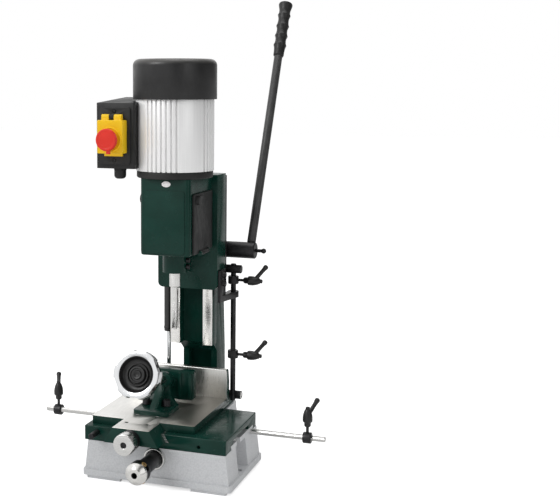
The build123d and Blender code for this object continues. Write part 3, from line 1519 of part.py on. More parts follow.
stop_arm_top = stop_arm_bottom + stop_arm_thickness
with BuildPart() as stop_arm:
    with BuildSketch(beside(slide_half_width)):
        rectangle(stop_plate_front, stop_plate_rear, slide_bottom + 2, stop_plate_top)
        rectangle(stop_plate_front, stop_plate_rear, stop_arm_bottom, slide_bottom + 3)
    extrude(amount=stop_plate_thickness)
    with BuildSketch(level(stop_arm_bottom)):
        outline((slide_half_width, stop_plate_front + 8),
                (slide_half_width + stop_plate_thickness, stop_plate_front + 8),
                (depth_rod_x + collar_radius, depth_rod_y), (depth_rod_x, depth_rod_y + collar_radius),
                (depth_rod_x - collar_radius, depth_rod_y), (slide_half_width, stop_plate_rear))
        disc(depth_rod_x, depth_rod_y, collar_radius)
    extrude(amount=stop_arm_thickness)
    with BuildSketch(level(stop_arm_bottom - 1)):
        disc(depth_rod_x, depth_rod_y, depth_rod_radius + free_gap)
    extrude(amount=stop_arm_thickness + 2, mode=Mode.SUBTRACT)
    for z in (slide_bottom + 9, stop_plate_top - 9):
        with BuildSketch(beside(slide_half_width + stop_plate_thickness)):
            disc((stop_plate_front + stop_plate_rear) / 2, z, 5)
        extrude(amount=5)
save(stop_arm, "stop_arm")

# ================================================================ gas strut
piston_z = strut_bottom + 22
strut_arm_edge = -keeper_inner - 8
with BuildPart() as strut_tube:
    with BuildSketch(level(strut_bottom)):
        disc(strut_x, strut_y, strut_radius)
    extrude(amount=strut_top - strut_bottom)
    with BuildSketch(level(strut_bottom + 8)):
        disc(strut_x, strut_y, strut_radius - strut_wall)
    extrude(amount=strut_top - strut_bottom - 14, mode=Mode.SUBTRACT)
    with BuildSketch(level(strut_bottom - 1)):
        disc(strut_x, strut_y, strut_rod_radius + running_fit)
    extrude(amount=12, mode=Mode.SUBTRACT)
    with BuildSketch(level(strut_bottom + 5)):
        disc(strut_x, strut_y, strut_radius + 0.8)
        with Locations((strut_x, strut_y)):
            Circle(strut_radius - 0.5, mode=Mode.SUBTRACT)
    extrude(amount=3)
    # arm that bolts to the back of the keeper
    with BuildSketch(level(strut_top)):
        rectangle(strut_x - 6, strut_arm_edge, slide_rear + keeper_thickness, strut_y + 6)
    extrude(amount=8)
save(strut_tube, "strut_tube")

with BuildPart() as strut_rod:
    with BuildSketch(level(anchor_bottom - 5)):
        disc(strut_x, strut_y, strut_rod_radius)
    extrude(amount=piston_z - anchor_bottom + 5)
    with BuildSketch(level(piston_z)):
        disc(strut_x, strut_y, strut_radius - strut_wall - running_fit)
    extrude(amount=8)
    with BuildSketch(level(anchor_bottom)):
        with Locations((strut_x, strut_y)):
            RegularPolygon(7, 6)
    extrude(amount=-5)
save(strut_rod, "strut_rod")
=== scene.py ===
import json
import math

import bpy
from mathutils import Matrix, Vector

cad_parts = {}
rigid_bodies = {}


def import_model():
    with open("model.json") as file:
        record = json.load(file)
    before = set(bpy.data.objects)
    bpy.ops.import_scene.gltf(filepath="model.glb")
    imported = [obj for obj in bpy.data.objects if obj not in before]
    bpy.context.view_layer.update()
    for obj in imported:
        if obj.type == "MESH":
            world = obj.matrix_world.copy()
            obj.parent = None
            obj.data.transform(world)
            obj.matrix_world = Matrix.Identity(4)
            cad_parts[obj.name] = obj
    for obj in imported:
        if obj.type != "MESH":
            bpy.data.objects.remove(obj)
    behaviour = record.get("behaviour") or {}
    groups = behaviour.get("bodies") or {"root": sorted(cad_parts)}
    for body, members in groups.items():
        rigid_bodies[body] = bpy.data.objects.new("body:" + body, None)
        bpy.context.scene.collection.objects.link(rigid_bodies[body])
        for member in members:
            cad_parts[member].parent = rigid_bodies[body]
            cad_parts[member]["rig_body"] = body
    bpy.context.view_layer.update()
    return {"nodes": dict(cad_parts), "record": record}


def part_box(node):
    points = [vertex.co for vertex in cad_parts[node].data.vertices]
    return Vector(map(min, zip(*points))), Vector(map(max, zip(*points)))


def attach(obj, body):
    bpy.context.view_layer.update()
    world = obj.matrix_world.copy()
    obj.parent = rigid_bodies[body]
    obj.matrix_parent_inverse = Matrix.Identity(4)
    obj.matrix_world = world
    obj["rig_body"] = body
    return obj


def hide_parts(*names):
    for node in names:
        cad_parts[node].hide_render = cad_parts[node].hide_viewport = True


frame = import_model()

nodes = frame["nodes"]
mm = 0.001                          # sizes are written in millimetres; the frame is in metres
same_corner = 0.00001               # metres: corners nearer than this are one
flat_within = math.radians(0.6)     # facets that turn less than this are one face
smooth_below = math.radians(35)     # a softer edge than this is shaded smooth
sharp_from = 32.0                   # degrees: an edge that turns more than this is rounded


# ---------------------------------------------------------------- bench work
def put_down():
    """Nothing is selected and nothing is in edit mode."""
    if bpy.context.object and bpy.context.object.mode != "OBJECT":
        bpy.ops.object.mode_set(mode="OBJECT")
    bpy.ops.object.select_all(action="DESELECT")


def take(piece):
    """The piece alone is selected and active."""
    put_down()
    piece.select_set(True)
    bpy.context.view_layer.objects.active = piece


def settle(piece, name):
    """The piece's place goes into its mesh, and it gets its name."""
    take(piece)
    bpy.ops.object.transform_apply(location=True, rotation=True, scale=True)
    piece.name = name
    piece.data.name = name
    return piece


def billet(name, left, right, front, rear, low, high):
    """A block between the given sides."""
    put_down()
    middle = ((left + right) / 2 * mm, (front + rear) / 2 * mm, (low + high) / 2 * mm)
    bpy.ops.mesh.primitive_cube_add(size=1, location=middle)
    piece = bpy.context.object
    piece.scale = ((right - left) * mm, (rear - front) * mm, (high - low) * mm)
    return settle(piece, name)


def stand(piece, origin, along):
    """From the world's Z axis to its own axis, with its foot at the origin given."""
    piece.rotation_mode = "QUATERNION"
    piece.rotation_quaternion = Vector((0, 0, 1)).rotation_difference(Vector(along))
    piece.location = Vector(origin) * mm
    return settle(piece, piece.name)


def turned(name, steps, origin=(0, 0, 0), along=(0, 0, 1), sides=64):
    """Turned on a lathe: a disc drawn out along its axis through (distance, radius) steps."""
    put_down()
    start, radius = steps[0]
    bpy.ops.mesh.primitive_circle_add(vertices=sides, radius=radius * mm, fill_type="NGON",
                                      location=(0, 0, start * mm))
    piece = bpy.context.object
    bpy.ops.object.mode_set(mode="EDIT")
    bpy.ops.mesh.select_all(action="SELECT")
    for distance, next_radius in steps[1:]:
        draw = (0, 0, (distance - start) * mm)
        bpy.ops.mesh.extrude_region_move(TRANSFORM_OT_translate={"value": draw})
        scale = next_radius / radius
        bpy.ops.transform.resize(value=(scale, scale, 1), center_override=(0, 0, distance * mm))
        start, radius = distance, next_radius
    bpy.ops.mesh.select_all(action="SELECT")
    bpy.ops.mesh.normals_make_consistent(inside=False)
    bpy.ops.object.mode_set(mode="OBJECT")
    settle(piece, name)
    return stand(piece, origin, along)


def cut(piece, cutter, kind="DIFFERENCE"):
    """Takes the cutter out of the piece, or joins it on, and throws the cutter away."""
    take(piece)
    tool = piece.modifiers.new("cut", "BOOLEAN")
    tool.operation = kind
    tool.solver = "EXACT"
    tool.object = cutter
    bpy.ops.object.modifier_apply(modifier=tool.name)
    bpy.data.objects.remove(cutter)


def ease(piece, width, segments=3, angle=sharp_from):
    """Rounds every sharp edge, or none at width 0, and shades the rest smooth."""
    take(piece)
    if width:
        tool = piece.modifiers.new("ease", "BEVEL")
        tool.width = width * mm
        tool.segments = segments
        tool.limit_method = "ANGLE"
        tool.angle_limit = math.radians(angle)
        tool.miter_outer = "MITER_ARC"
        bpy.ops.object.modifier_apply(modifier=tool.name)
    bpy.ops.object.shade_smooth_by_angle(angle=smooth_below)


def casting(node, name):
    """A copy of the node's own shape, with its facets merged."""
    put_down()
    piece = bpy.data.objects.new(name, nodes[node].data.copy())
    bpy.context.scene.collection.objects.link(piece)
    take(piece)
    bpy.ops.object.mode_set(mode="EDIT")
    bpy.ops.mesh.select_all(action="SELECT")
    bpy.ops.mesh.remove_doubles(threshold=same_corner)
    bpy.ops.mesh.dissolve_limited(angle_limit=flat_within)
    bpy.ops.object.mode_set(mode="OBJECT")
    return piece


def dress(piece, body, finish, slot, *stands_for):
    """The piece gets its finish, rides on a body, and stands for the nodes named."""
    piece.data.materials.clear()
    piece.data.materials.append(finish)
    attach(piece, body)
    if stands_for:
        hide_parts(*stands_for)


# ---------------------------------------------------------------- shader nodes
mix_share, mix_first, mix_second, mix_result = 0, 6, 7, 2       # a colour Mix node's sockets


def fill(tree, socket, value):
    """The socket takes a plain value, or a link from another node."""
    if isinstance(value, bpy.types.NodeSocket):
        tree.links.new(value, socket)
    else:
        socket.default_value = value


def add_node(tree, kind, **inputs):
    """A node with its inputs filled by name, an underscore standing for a space."""
    node = tree.nodes.new(kind)
    for name, value in inputs.items():
        fill(tree, node.inputs[name.replace("_", " ")], value)
    return node


def reckon(tree, kind, first, second):
    """What a Math node makes of two values."""
    node = tree.nodes.new("ShaderNodeMath")
    node.operation = kind
    fill(tree, node.inputs[0], first)
    fill(tree, node.inputs[1], second)
    return node.outputs["Value"]


class Finish:
    """A material under construction: its nodes, and short ways to add the usual ones."""

    def __init__(self, name, colour, metallic, roughness):
        self.material = bpy.data.materials.new(name)
        self.material.use_nodes = True
        self.material.diffuse_color = (*colour, 1)
        self.tree = self.material.node_tree
        self.shader = self.tree.nodes["Principled BSDF"]
        self.put("Base Color", (*colour, 1))
        self.put("Metallic", metallic)
        self.put("Roughness", roughness)
        self.place = self.add("ShaderNodeTexCoord").outputs["Object"]

    def put(self, socket, value):
        """One of the shader's own sockets takes a value, or what another node gives."""
        fill(self.tree, self.shader.inputs[socket], value)

    def add(self, kind, **inputs):
        return add_node(self.tree, kind, **inputs)

    def reckon(self, kind, first, second):
        return reckon(self.tree, kind, first, second)

    def noise(self, scale, detail=3.0, roughness=0.5, place=None):
        return self.add("ShaderNodeTexNoise", Vector=place or self.place, Scale=scale,
                        Detail=detail, Roughness=roughness).outputs["Fac"]

    def streaks(self, x, y, z):
        """Fine lines, closest together along the axis with the largest number."""
        mapping = self.add("ShaderNodeMapping", Vector=self.place, Scale=(x, y, z))
        return self.noise(1.0, 4, 0.6, mapping.outputs["Vector"])

    def ramp(self, value, *stops):
        """Stops are (position, grey or colour)."""
        node = self.add("ShaderNodeValToRGB", Fac=value)
        elements = node.color_ramp.elements
        while len(elements) < len(stops):
            elements.new(0.5)
        for element, (position, colour) in zip(elements, stops):
            element.position = position
            grey = isinstance(colour, (int, float))
            element.color = (colour, colour, colour, 1) if grey else (*colour, 1)
        return node.outputs["Color"]

    def mix(self, share, first, second, blend="MIX"):
        """Two colours, or numbers written as greys, blended by a share."""
        node = self.tree.nodes.new("ShaderNodeMix")
        node.data_type = "RGBA"
        node.blend_type = blend
        fill(self.tree, node.inputs[mix_share], share)
        for index, colour in ((mix_first, first), (mix_second, second)):
            plain = not isinstance(colour, bpy.types.NodeSocket)
            fill(self.tree, node.inputs[index], (*colour, 1) if plain else colour)
        return node.outputs[mix_result]

    def relief(self, height, strength, depth):
        """Bumps of a depth in millimetres, on top of those already there."""
        bump = self.add("ShaderNodeBump", Height=height, Strength=strength, Distance=depth * mm)
        earlier = self.shader.inputs["Normal"].links
        if earlier:
            fill(self.tree, bump.inputs["Normal"], earlier[0].from_socket)
        self.put("Normal", bump.outputs["Normal"])

    def gloss(self, level):
        self.put("Specular IOR Level", level)

    def where(self, axis):
        return self.add("ShaderNodeSeparateXYZ", Vector=self.place).outputs[axis]

    def beyond(self, axis, limit):
        """1 where the place along an axis is past the limit, otherwise 0."""
        return self.reckon("GREATER_THAN", self.where(axis), limit * mm)

    def short_of(self, axis, limit):
        """1 where the place along an axis is before the limit, otherwise 0."""
        return self.reckon("LESS_THAN", self.where(axis), limit * mm)

    def climb(self, axis, start, end):
        """From 0 at the start to 1 at the end along an axis."""
        return self.add("ShaderNodeMapRange", Value=self.where(axis), From_Min=start * mm,
                        From_Max=end * mm).outputs["Result"]


# ---------------------------------------------------------------- finishes
green_middle = (0.0045, 0.034, 0.025)
green_dark = (0.0030, 0.0270, 0.0190)
green_light = (0.0060, 0.0420, 0.0310)
green_gloss = 0.20

# where the painted castings are ground or turned bright
table_top_from = 102.45
fence_face_before = 97.5
fence_top_from = 154.5
column_strip_from = 21.6
column_slab_before = 83.6
column_strip_foot = 200
hub_face_before = -171.5

# the table's bright top turns to a darker, browner grey on its way to the right: a painted dim
# reflection
dim_reflection_from, dim_reflection_to = -95, 60
dim_reflection_colour = (0.36, 0.345, 0.31)
dim_reflection_patches = 0.35

# the painted highlight on the cowl's shoulder lies this far below its top
cowl_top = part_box("fan_cowl")[1].z / mm
shoulder_low, shoulder_high = 9, 2


def grey(shade, red=1, green=1, blue=1):
    """A grey, leant towards a colour."""
    return (shade * red, shade * green, shade * blue)


def scaled(colour, by):
    """The colour, darker or paler."""
    return tuple(min(1, part * by) for part in colour)


def enamel(paint):
    """The green's cloudy colour and its uneven shine."""
    colour = paint.ramp(paint.noise(22, 4), (0.3, green_dark), (0.7, green_light))
    shine = paint.ramp(paint.noise(60, 3), (0.3, 0.18), (0.75, 0.30))
    return colour, shine


def green_enamel():
    paint = Finish("green_enamel", green_middle, 0.0, 0.26)
    colour, shine = enamel(paint)
    paint.put("Base Color", colour)
    paint.put("Roughness", shine)
    paint.relief(paint.noise(420, 2), 0.10, 0.25)
    paint.relief(paint.noise(70, 2), 0.12, 0.6)
    paint.gloss(green_gloss)
    return paint.material


def table_ground(metal):
    """The top face."""
    return metal.beyond("Z", table_top_from)


def fence_ground(metal):
    """The face that the work leans on, and the top edge."""
    return metal.reckon("MAXIMUM", metal.short_of("Y", fence_face_before),
                        metal.beyond("Z", fence_top_from))


def column_ground(metal):
    """The two machined strips on the front of the slab."""
    strips = metal.reckon("MAXIMUM", metal.beyond("X", column_strip_from),
                          metal.short_of("X", -column_strip_from))
    front = metal.reckon("MULTIPLY", metal.short_of("Y", column_slab_before),
                         metal.beyond("Z", column_strip_foot))
    return metal.reckon("MULTIPLY", strips, front)


def painted_dim_reflection(metal, colour):
    """The colour, darker and browner towards the right in uneven patches: a painted dim
    reflection.
    """
    patches = metal.reckon("SUBTRACT", metal.noise(9, 3), 0.5)
    share = metal.reckon("ADD", metal.climb("X", dim_reflection_from, dim_reflection_to),
                         metal.reckon("MULTIPLY", patches, dim_reflection_patches))
    dim_reflection = metal.ramp(share, (0.0, grey(1.0)), (1.0, dim_reflection_colour))
    return metal.mix(1.0, colour, dim_reflection, "MULTIPLY")


def machined_casting(name, ground, lines, shade, rough, gloss=green_gloss, dim_reflection=False):
    """Green enamel, with bright ground faces where the test says so."""
    metal = Finish(name, green_middle, 0.0, 0.26)
    bright = ground(metal)
    scratch = metal.streaks(*lines)
    steel_colour = metal.ramp(scratch, (0.3, grey(shade, 0.90, 0.89, 0.86)),
                              (0.7, grey(shade, 1.08, 1.07, 1.04)))
    if dim_reflection:
        # painted dim reflection: the table's bright top darkens towards the right
        steel_colour = painted_dim_reflection(metal, steel_colour)
    steel_rough = metal.ramp(scratch, (0.3, rough - 0.05), (0.7, rough + 0.06))
    paint_colour, paint_rough = enamel(metal)
    metal.put("Base Color", metal.mix(bright, paint_colour, steel_colour))
    metal.put("Metallic", bright)
    metal.put("Roughness", metal.mix(bright, paint_rough, steel_rough))
    painted = metal.reckon("SUBTRACT", 1.0, bright)
    metal.relief(metal.reckon("MULTIPLY", metal.noise(420, 2), painted), 0.10, 0.25)
    metal.gloss(gloss)
    return metal.material


def hammered_silver():
    """Silver paint that dried in small dimples."""
    paint = Finish("hammered_silver", (0.60, 0.61, 0.62), 0.12, 0.38)
    dimples = paint.add("ShaderNodeTexVoronoi", Vector=paint.place, Scale=420.0)
    dimples.feature = "SMOOTH_F1"
    dimples.inputs["Smoothness"].default_value = 0.8
    height = dimples.outputs["Distance"]
    paint.put("Base Color", paint.ramp(height, (0.05, (0.66, 0.67, 0.685)),
                                       (0.45, (0.61, 0.62, 0.635)), (0.8, (0.56, 0.57, 0.585))))
    paint.relief(height, 0.22, 0.22)
    paint.relief(paint.noise(60, 3), 0.15, 0.8)
    paint.gloss(0.5)
    return paint.material


def ground_steel(name="ground_steel", lines=(40, 900, 40), shade=0.80):
    """Bright steel with the fine lines of the grinding wheel or the lathe."""
    metal = Finish(name, grey(shade, 1, 1, 0.975), 1.0, 0.22)
    scratch = metal.streaks(*lines)
    metal.put("Base Color", metal.ramp(scratch, (0.3, grey(shade, 0.88, 0.875, 0.85)),
                                       (0.7, grey(shade, 1.08, 1.07, 1.05))))
    metal.put("Roughness", metal.ramp(scratch, (0.3, 0.16), (0.7, 0.30)))
    metal.relief(scratch, 0.04, 0.08)
    return metal.material


def polished_chrome():
    metal = Finish("polished_chrome", (0.78, 0.79, 0.80), 1.0, 0.10)
    metal.put("Roughness", metal.ramp(metal.noise(90, 4), (0.35, 0.07), (0.7, 0.16)))
    return metal.material


def drawn_aluminium():
    """Pale metal with upright lines, for the motor's ribs."""
    metal = Finish("drawn_aluminium", grey(0.93), 0.25, 0.40)
    streak = metal.streaks(900, 900, 9)
    metal.put("Base Color", metal.ramp(streak, (0.3, grey(0.89)), (0.7, grey(0.97))))
    metal.put("Roughness", metal.ramp(streak, (0.3, 0.30), (0.7, 0.44)))
    metal.relief(streak, 0.05, 0.15)
    return metal.material


def satin_black(name, shade, roughness, grain, depth, extra_gloss=0.0):
    """Black paint, plastic or rubber, with a grain of a depth in millimetres."""
    paint = Finish(name, grey(shade, 1, 1, 1.02), 0.0, roughness)
    paint.put("Base Color", paint.ramp(paint.noise(30, 4), (0.3, grey(shade * 0.75)),
                                       (0.7, grey(shade * 1.3))))
    paint.put("Roughness", paint.ramp(paint.noise(80, 3), (0.3, roughness - 0.06),
                                      (0.7, roughness + 0.07)))
    paint.relief(paint.noise(grain, 2), 0.25, depth)
    paint.gloss(0.28 + extra_gloss)
    return paint.material


def cowl_paint():
    """Satin black, a little paler on the shoulder at the top: a painted highlight."""
    paint = Finish("cowl_paint", (0.016, 0.016, 0.017), 0.0, 0.34)
    black = paint.ramp(paint.noise(30, 4), (0.3, (0.011, 0.011, 0.0115)),
                       (0.7, (0.020, 0.020, 0.0205)))
    # painted highlight: paler towards the top of the cowl's shoulder
    shoulder_highlight = paint.climb("Z", cowl_top - shoulder_low, cowl_top - shoulder_high)
    paint.put("Base Color", paint.mix(shoulder_highlight, black, (0.085, 0.082, 0.077)))
    paint.put("Roughness", paint.ramp(paint.noise(80, 3), (0.3, 0.28), (0.7, 0.41)))
    paint.relief(paint.noise(500, 2), 0.25, 0.06)
    paint.gloss(0.45)
    return paint.material


def black_oxide():
    metal = Finish("black_oxide", (0.022, 0.022, 0.024), 0.55, 0.36)
    metal.put("Base Color", metal.ramp(metal.noise(60, 4), (0.3, (0.014, 0.014, 0.016)),
                                       (0.75, (0.035, 0.034, 0.035))))
    metal.put("Roughness", metal.ramp(metal.noise(140, 3), (0.3, 0.28), (0.7, 0.46)))
    metal.relief(metal.noise(900, 2), 0.12, 0.05)
    return metal.material


def two_tone_hub():
    """Bright face cone in front of a black barrel."""
    metal = Finish("bright_face_black_barrel", (0.78, 0.79, 0.80), 1.0, 0.14)
    face = metal.short_of("Y", hub_face_before)
    bright = metal.ramp(metal.noise(90, 4), (0.3, (0.70, 0.69, 0.66)), (0.7, (0.80, 0.79, 0.77)))
    black = metal.ramp(metal.noise(60, 4), (0.3, (0.012, 0.012, 0.014)),
                       (0.75, (0.030, 0.030, 0.031)))
    metal.put("Base Color", metal.mix(face, black, bright))
    metal.put("Roughness", metal.mix(face, grey(0.34), grey(0.20)))
    return metal.material


def moulded(name, colour, roughness=0.34, gloss=0.3):
    """Coloured plastic, cloudy and faintly grained."""
    plastic = Finish(name, colour, 0.0, roughness)
    plastic.put("Base Color", plastic.ramp(plastic.noise(26, 3), (0.3, scaled(colour, 0.92)),
                                           (0.7, scaled(colour, 1.06))))
    plastic.put("Roughness", plastic.ramp(plastic.noise(160, 3), (0.3, roughness - 0.05),
                                          (0.7, roughness + 0.06)))
    plastic.relief(plastic.noise(700, 2), 0.06, 0.08)
    plastic.gloss(gloss)
    return plastic.material


def machined_bronze():
    metal = Finish("machined_bronze", (0.62, 0.42, 0.18), 0.9, 0.35)
    metal.put("Base Color", metal.ramp(metal.noise(40, 3), (0.3, (0.52, 0.33, 0.13)),
                                       (0.7, (0.70, 0.50, 0.24))))
    return metal.material


def lacquered_copper():
    """The wires of the windings, side by side."""
    metal = Finish("lacquered_copper", (0.45, 0.16, 0.06), 0.7, 0.35)
    wires = metal.add("ShaderNodeTexWave", Vector=metal.place, Scale=400.0,
                      Distortion=3.0).outputs["Fac"]
    metal.put("Base Color", metal.ramp(wires, (0.2, (0.20, 0.06, 0.02)),
                                       (0.8, (0.55, 0.22, 0.09))))
    metal.relief(wires, 0.5, 0.4)
    return metal.material


green = green_enamel()
# the table's top carries a painted dim reflection, darker towards the right
table_finish = machined_casting("ground_table_green_sides", table_ground, (900, 40, 40),
                                shade=0.84, rough=0.36, dim_reflection=True)
fence_finish = machined_casting("ground_fence_green_back", fence_ground, (900, 40, 40),
                                shade=0.84, rough=0.30)
column_finish = machined_casting("column_green_ground_strips", column_ground, (40, 40, 900),
                                 shade=0.90, rough=0.21, gloss=0.05)
silver = hammered_silver()
steel = ground_steel()
steel_along_x = ground_steel("steel_ground_along_x", (12, 900, 900))
steel_turned = ground_steel("turned_steel", (60, 60, 900), 0.70)
chrome = polished_chrome()
aluminium = drawn_aluminium()
oxide = black_oxide()
hub_finish = two_tone_hub()
bronze = machined_bronze()
copper = lacquered_copper()
cowl_finish = cowl_paint()
flange_black = satin_black("rough_black_casting", 0.022, 0.55, 240, 0.6)
cowl_black = satin_black("satin_black_paint", 0.020, 0.34, 500, 0.06, 0.2)
plastic_black = satin_black("textured_black_plastic", 0.020, 0.46, 800, 0.10)
knob_black = satin_black("moulded_black", 0.014, 0.34, 600, 0.05, 0.15)
grip_black = satin_black("grip_rubber", 0.016, 0.40, 500, 0.08, 0.1)
bar_grey = satin_black("bar_paint", 0.045, 0.36, 400, 0.06, 0.2)
yellow = moulded("yellow_plastic", (0.94, 0.60, 0.012))
red = moulded("red_plastic", (0.74, 0.035, 0.022))
start_green = moulded("green_plastic", (0.03, 0.42, 0.09))


# ---------------------------------------------------------------- shapes kept from the frame
def keep(node, name, finish, width, segments=2):
    """The node's own shape with its edges rounded."""
    rows = frame["record"]["subparts"]
    slot = next(row["material_slot"] for row in rows if row["node"] == node)
    piece = casting(node, name)
    ease(piece, width, segments)
    dress(piece, nodes[node]["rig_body"], finish, slot, node)


def finish_only(node, finish):
    """The node keeps its own mesh and gets a finish."""
    nodes[node].data.materials.clear()
    nodes[node].data.materials.append(finish)


bay_near, bay_far = 106.0, 136      # from the middle of the base, on both sides
bay_front, bay_rear = -37.5, 15.5
bay_floor, bay_deck = 15.3, 64.0


def bench_casting():
    """The base, with its two bays opened square up to the deck."""
    base = casting("base", "base_casting")
    ease(base, 0)
    for left, right in ((-bay_far, -bay_near), (bay_near, bay_far)):
        cut(base, billet("bay", left, right, bay_front, bay_rear, bay_floor, bay_deck))
    ease(base, 1.6)
    dress(base, "frame", silver, "cast_silver", "base")


for node, finish in (("rotor", steel_turned), ("stator", copper), ("motor_bearings", chrome),
                     ("fan", plastic_black), ("screw_nut", bronze), ("start_button", start_green),
                     ("table_gib", steel_along_x), ("pinion_shaft", steel_turned),
                     ("head_rack", steel), ("feed_rack", steel_along_x), ("strut_rod", chrome),
                     ("cross_bearing", oxide), ("auger", steel_turned)):
    finish_only(node, finish)

bench_casting()
keep("saddle", "saddle_casting", green, 1.0)
keep("table", "table_casting", table_finish, 0.7)
keep("fence", "fence_plate", fence_finish, 0.9)
keep("column", "column_casting", column_finish, 1.4, 3)
keep("head", "head_casting", green, 1.4, 3)
keep("vise_base", "vise_casting", green, 1.2)
keep("jaw", "jaw_casting", green, 0.8)
keep("stop_rod", "stop_rod_bar", steel_turned, 0)
keep("depth_rod", "depth_rod_bar", oxide, 0)
keep("rod_studs", "depth_rod_studs", oxide, 0.4)
keep("stop_arm", "stop_arm_bracket", oxide, 0.8)
keep("slide_keepers", "slide_keeper_plates", oxide, 0.6)
keep("column_screws", "column_foot_screws", oxide, 0.4)
keep("head_screws", "head_lock_screws", oxide, 0.4)
keep("vise_bolts", "vise_bolt_pair", oxide, 0.4)
keep("saddle_lock", "saddle_lock_handle", oxide, 0.5)
keep("feed_shaft", "feed_shaft_black", oxide, 0.4)
keep("feed_hub", "feed_hub_turned", hub_finish, 1.0)
keep("cross_screw", "cross_screw_disc", steel_turned, 0.8)
keep("clamp_screw", "clamp_screw_bar", steel_turned, 0.5)
keep("lever_hub", "lever_hub_turned", oxide, 1.2)
keep("lever_bar", "lever_bar_rod", bar_grey, 0.6)
keep("index_pin", "index_pin_knob", oxide, 0.4)
keep("right_door", "right_door_cover", plastic_black, 0.8)
keep("left_door", "left_door_cover", plastic_black, 0.8)
keep("chisel", "chisel_blade", steel, 0.3)
keep("chuck", "chuck_body", steel_turned, 0.5)
keep("motor_flange", "motor_flange_casting", flange_black, 1.5, 3)
keep("motor_body", "motor_housing", aluminium, 0.4)
keep("fan_cowl", "fan_cowl_pressing", cowl_finish, 1.0)
keep("strut_tube", "strut_cylinder", cowl_black, 0.5)
keep("switch_box", "switch_box_moulding", plastic_black, 0.8)
keep("cable_gland", "cable_gland_nut", plastic_black, 0.5)
keep("switch_flap", "switch_flap_moulding", yellow, 0.5)
for collar, ring in (("upper_collar", "upper_collar_ring"), ("lower_collar", "lower_collar_ring"),
                     ("left_stop_collar", "left_stop_ring"),
                     ("right_stop_collar", "right_stop_ring")):
    keep(collar, ring, oxide, 0.5)


# ---------------------------------------------------------------- pull lever
lever_lean = math.radians(27)
lever_line = (0, math.sin(lever_lean), math.cos(lever_lean))
lever_foot = (91, 139, 365)
grip_foot = [(388, 8.4), (388.8, 9.4), (390, 9.8), (397, 9.9), (404, 10.4)]
grip_ridges = ((411, 431), (431, 452), (452, 475))
grip_end = [(473.4, 11.5), (474.6, 12.1), (475.8, 12.0), (477.2, 11.2), (481, 10.6), (486, 10.7),
            (491, 11.8), (495.5, 12.9), (498, 13.2), (500, 12.6), (501.4, 10.6), (502, 7.5),
            (502.3, 3.0)]


def finger_grip():
    """Rubber grip with a ridge before each finger's hollow."""
    steps = list(grip_foot)
    for ridge, next_ridge in grip_ridges:
        length = next_ridge - ridge
        steps += [(ridge - 1.6, 11.5), (ridge - 0.4, 12.1), (ridge + 0.8, 12.0),
                  (ridge + 2.2, 11.3), (ridge + length * 0.28, 10.5),
                  (ridge + length * 0.5, 10.0), (ridge + length * 0.72, 10.3)]
    grip = turned("finger_grip", steps + grip_end, lever_foot, lever_line, 48)
    ease(grip, 0)
    dress(grip, "lever", grip_black, "grip_rubber", "lever_grip")


finger_grip()


# ---------------------------------------------------------------- handles of the four clamps
handle_lean = math.radians(50)      # the arm's, from the stud
arm_root = 38                       # how far up the stud the arm leaves the barrel
barrel_steps = [(5.2, 2.5), (19.2, 2.5), (19.25, 4.2), (20.6, 5.3), (21.4, 5.6), (26.2, 5.7),
                (27.2, 6.4), (27.8, 7.6), (28.8, 8.2), (31, 8.35), (36, 8.3), (40, 7.7),
                (44, 6.6), (47.5, 5.3), (49, 4.5), (49.3, 3.5), (52.4, 3.7), (53, 3.2),
                (52.4, 2.0), (51.2, 1.8)]
arm_steps = [(0, 4.2), (8, 3.7), (22, 3.5), (29, 3.8), (31.5, 4.4), (34, 4.5), (36, 3.7),
             (37, 2.0)]


def ratchet_handle(name, body, centre, stud, lean_to):
    """Barrel on the clamp's stud, with its arm leaning out of it."""
    stud = Vector(stud)
    arm_line = stud * math.cos(handle_lean) + Vector(lean_to) * math.sin(handle_lean)
    barrel = turned(name, barrel_steps, centre, stud, 40)
    arm = turned(name + "_arm", arm_steps, Vector(centre) + stud * arm_root, arm_line, 32)
    cut(barrel, arm, "UNION")
    ease(barrel, 0.25, 2, 40)
    dress(barrel, body, knob_black, "black_plastic", body)


for side, height in (("upper", 312), ("lower", 177)):
    ratchet_handle(side + "_clamp_handle", side + "_clamp_lever", (63, 130, height),
                   stud=(1, 0, 0), lean_to=(0, 0, 1))
for side, across, lean in (("left", -245, -0.42), ("right", 221, 0.42)):
    ratchet_handle(side + "_stop_handle", side + "_stop_lever", (across, 48, 65),
                   stud=(0, 0, 1), lean_to=(lean, 0.9075, 0))


# ---------------------------------------------------------------- switch
switch_middle = -82.5
button_middle = (switch_middle, 0, 569)
lid_screw_heights = (614, 534)


def stop_mushroom():
    """Red head with a thumb rim and two shallow rings, on its stem."""
    knob = turned("stop_mushroom", [(-100.6, 4.5), (-100.4, 9.0), (-99.9, 13.4), (-100.3, 14.2),
                                    (-100.2, 16.6), (-99.2, 17.8), (-97.4, 18.3), (-94.2, 18.3),
                                    (-92.6, 17.6), (-92.0, 16.0), (-91.8, 7.5), (-90.8, 6.1),
                                    (-68.4, 6.0)], button_middle, (0, 1, 0))
    tab = billet("rim_tab", left=-83.0, right=-76.5, front=-97.0, rear=-93.4,
                 low=546.0, high=553.0)
    cut(knob, tab, "UNION")
    ease(knob, 0.2, 2, 30)
    dress(knob, "stop_button", red, "red_plastic", "stop_button")


def switch_lid_screws():
    """The two slotted screws that hold the lid."""
    for number, height in enumerate(lid_screw_heights):
        screw = turned(f"lid_screw_{number}", [(-61.6, 2.9), (-63.3, 2.9), (-64.4, 2.3),
                                               (-64.6, 1.2)],
                       (switch_middle, 0, height), (0, 1, 0), 24)
        cut(screw, billet("slot", left=-84.9, right=-80.1, front=-65.2, rear=-63.9,
                          low=height - 0.35, high=height + 0.35))
        ease(screw, 0)
        dress(screw, "head", oxide, "black_steel")


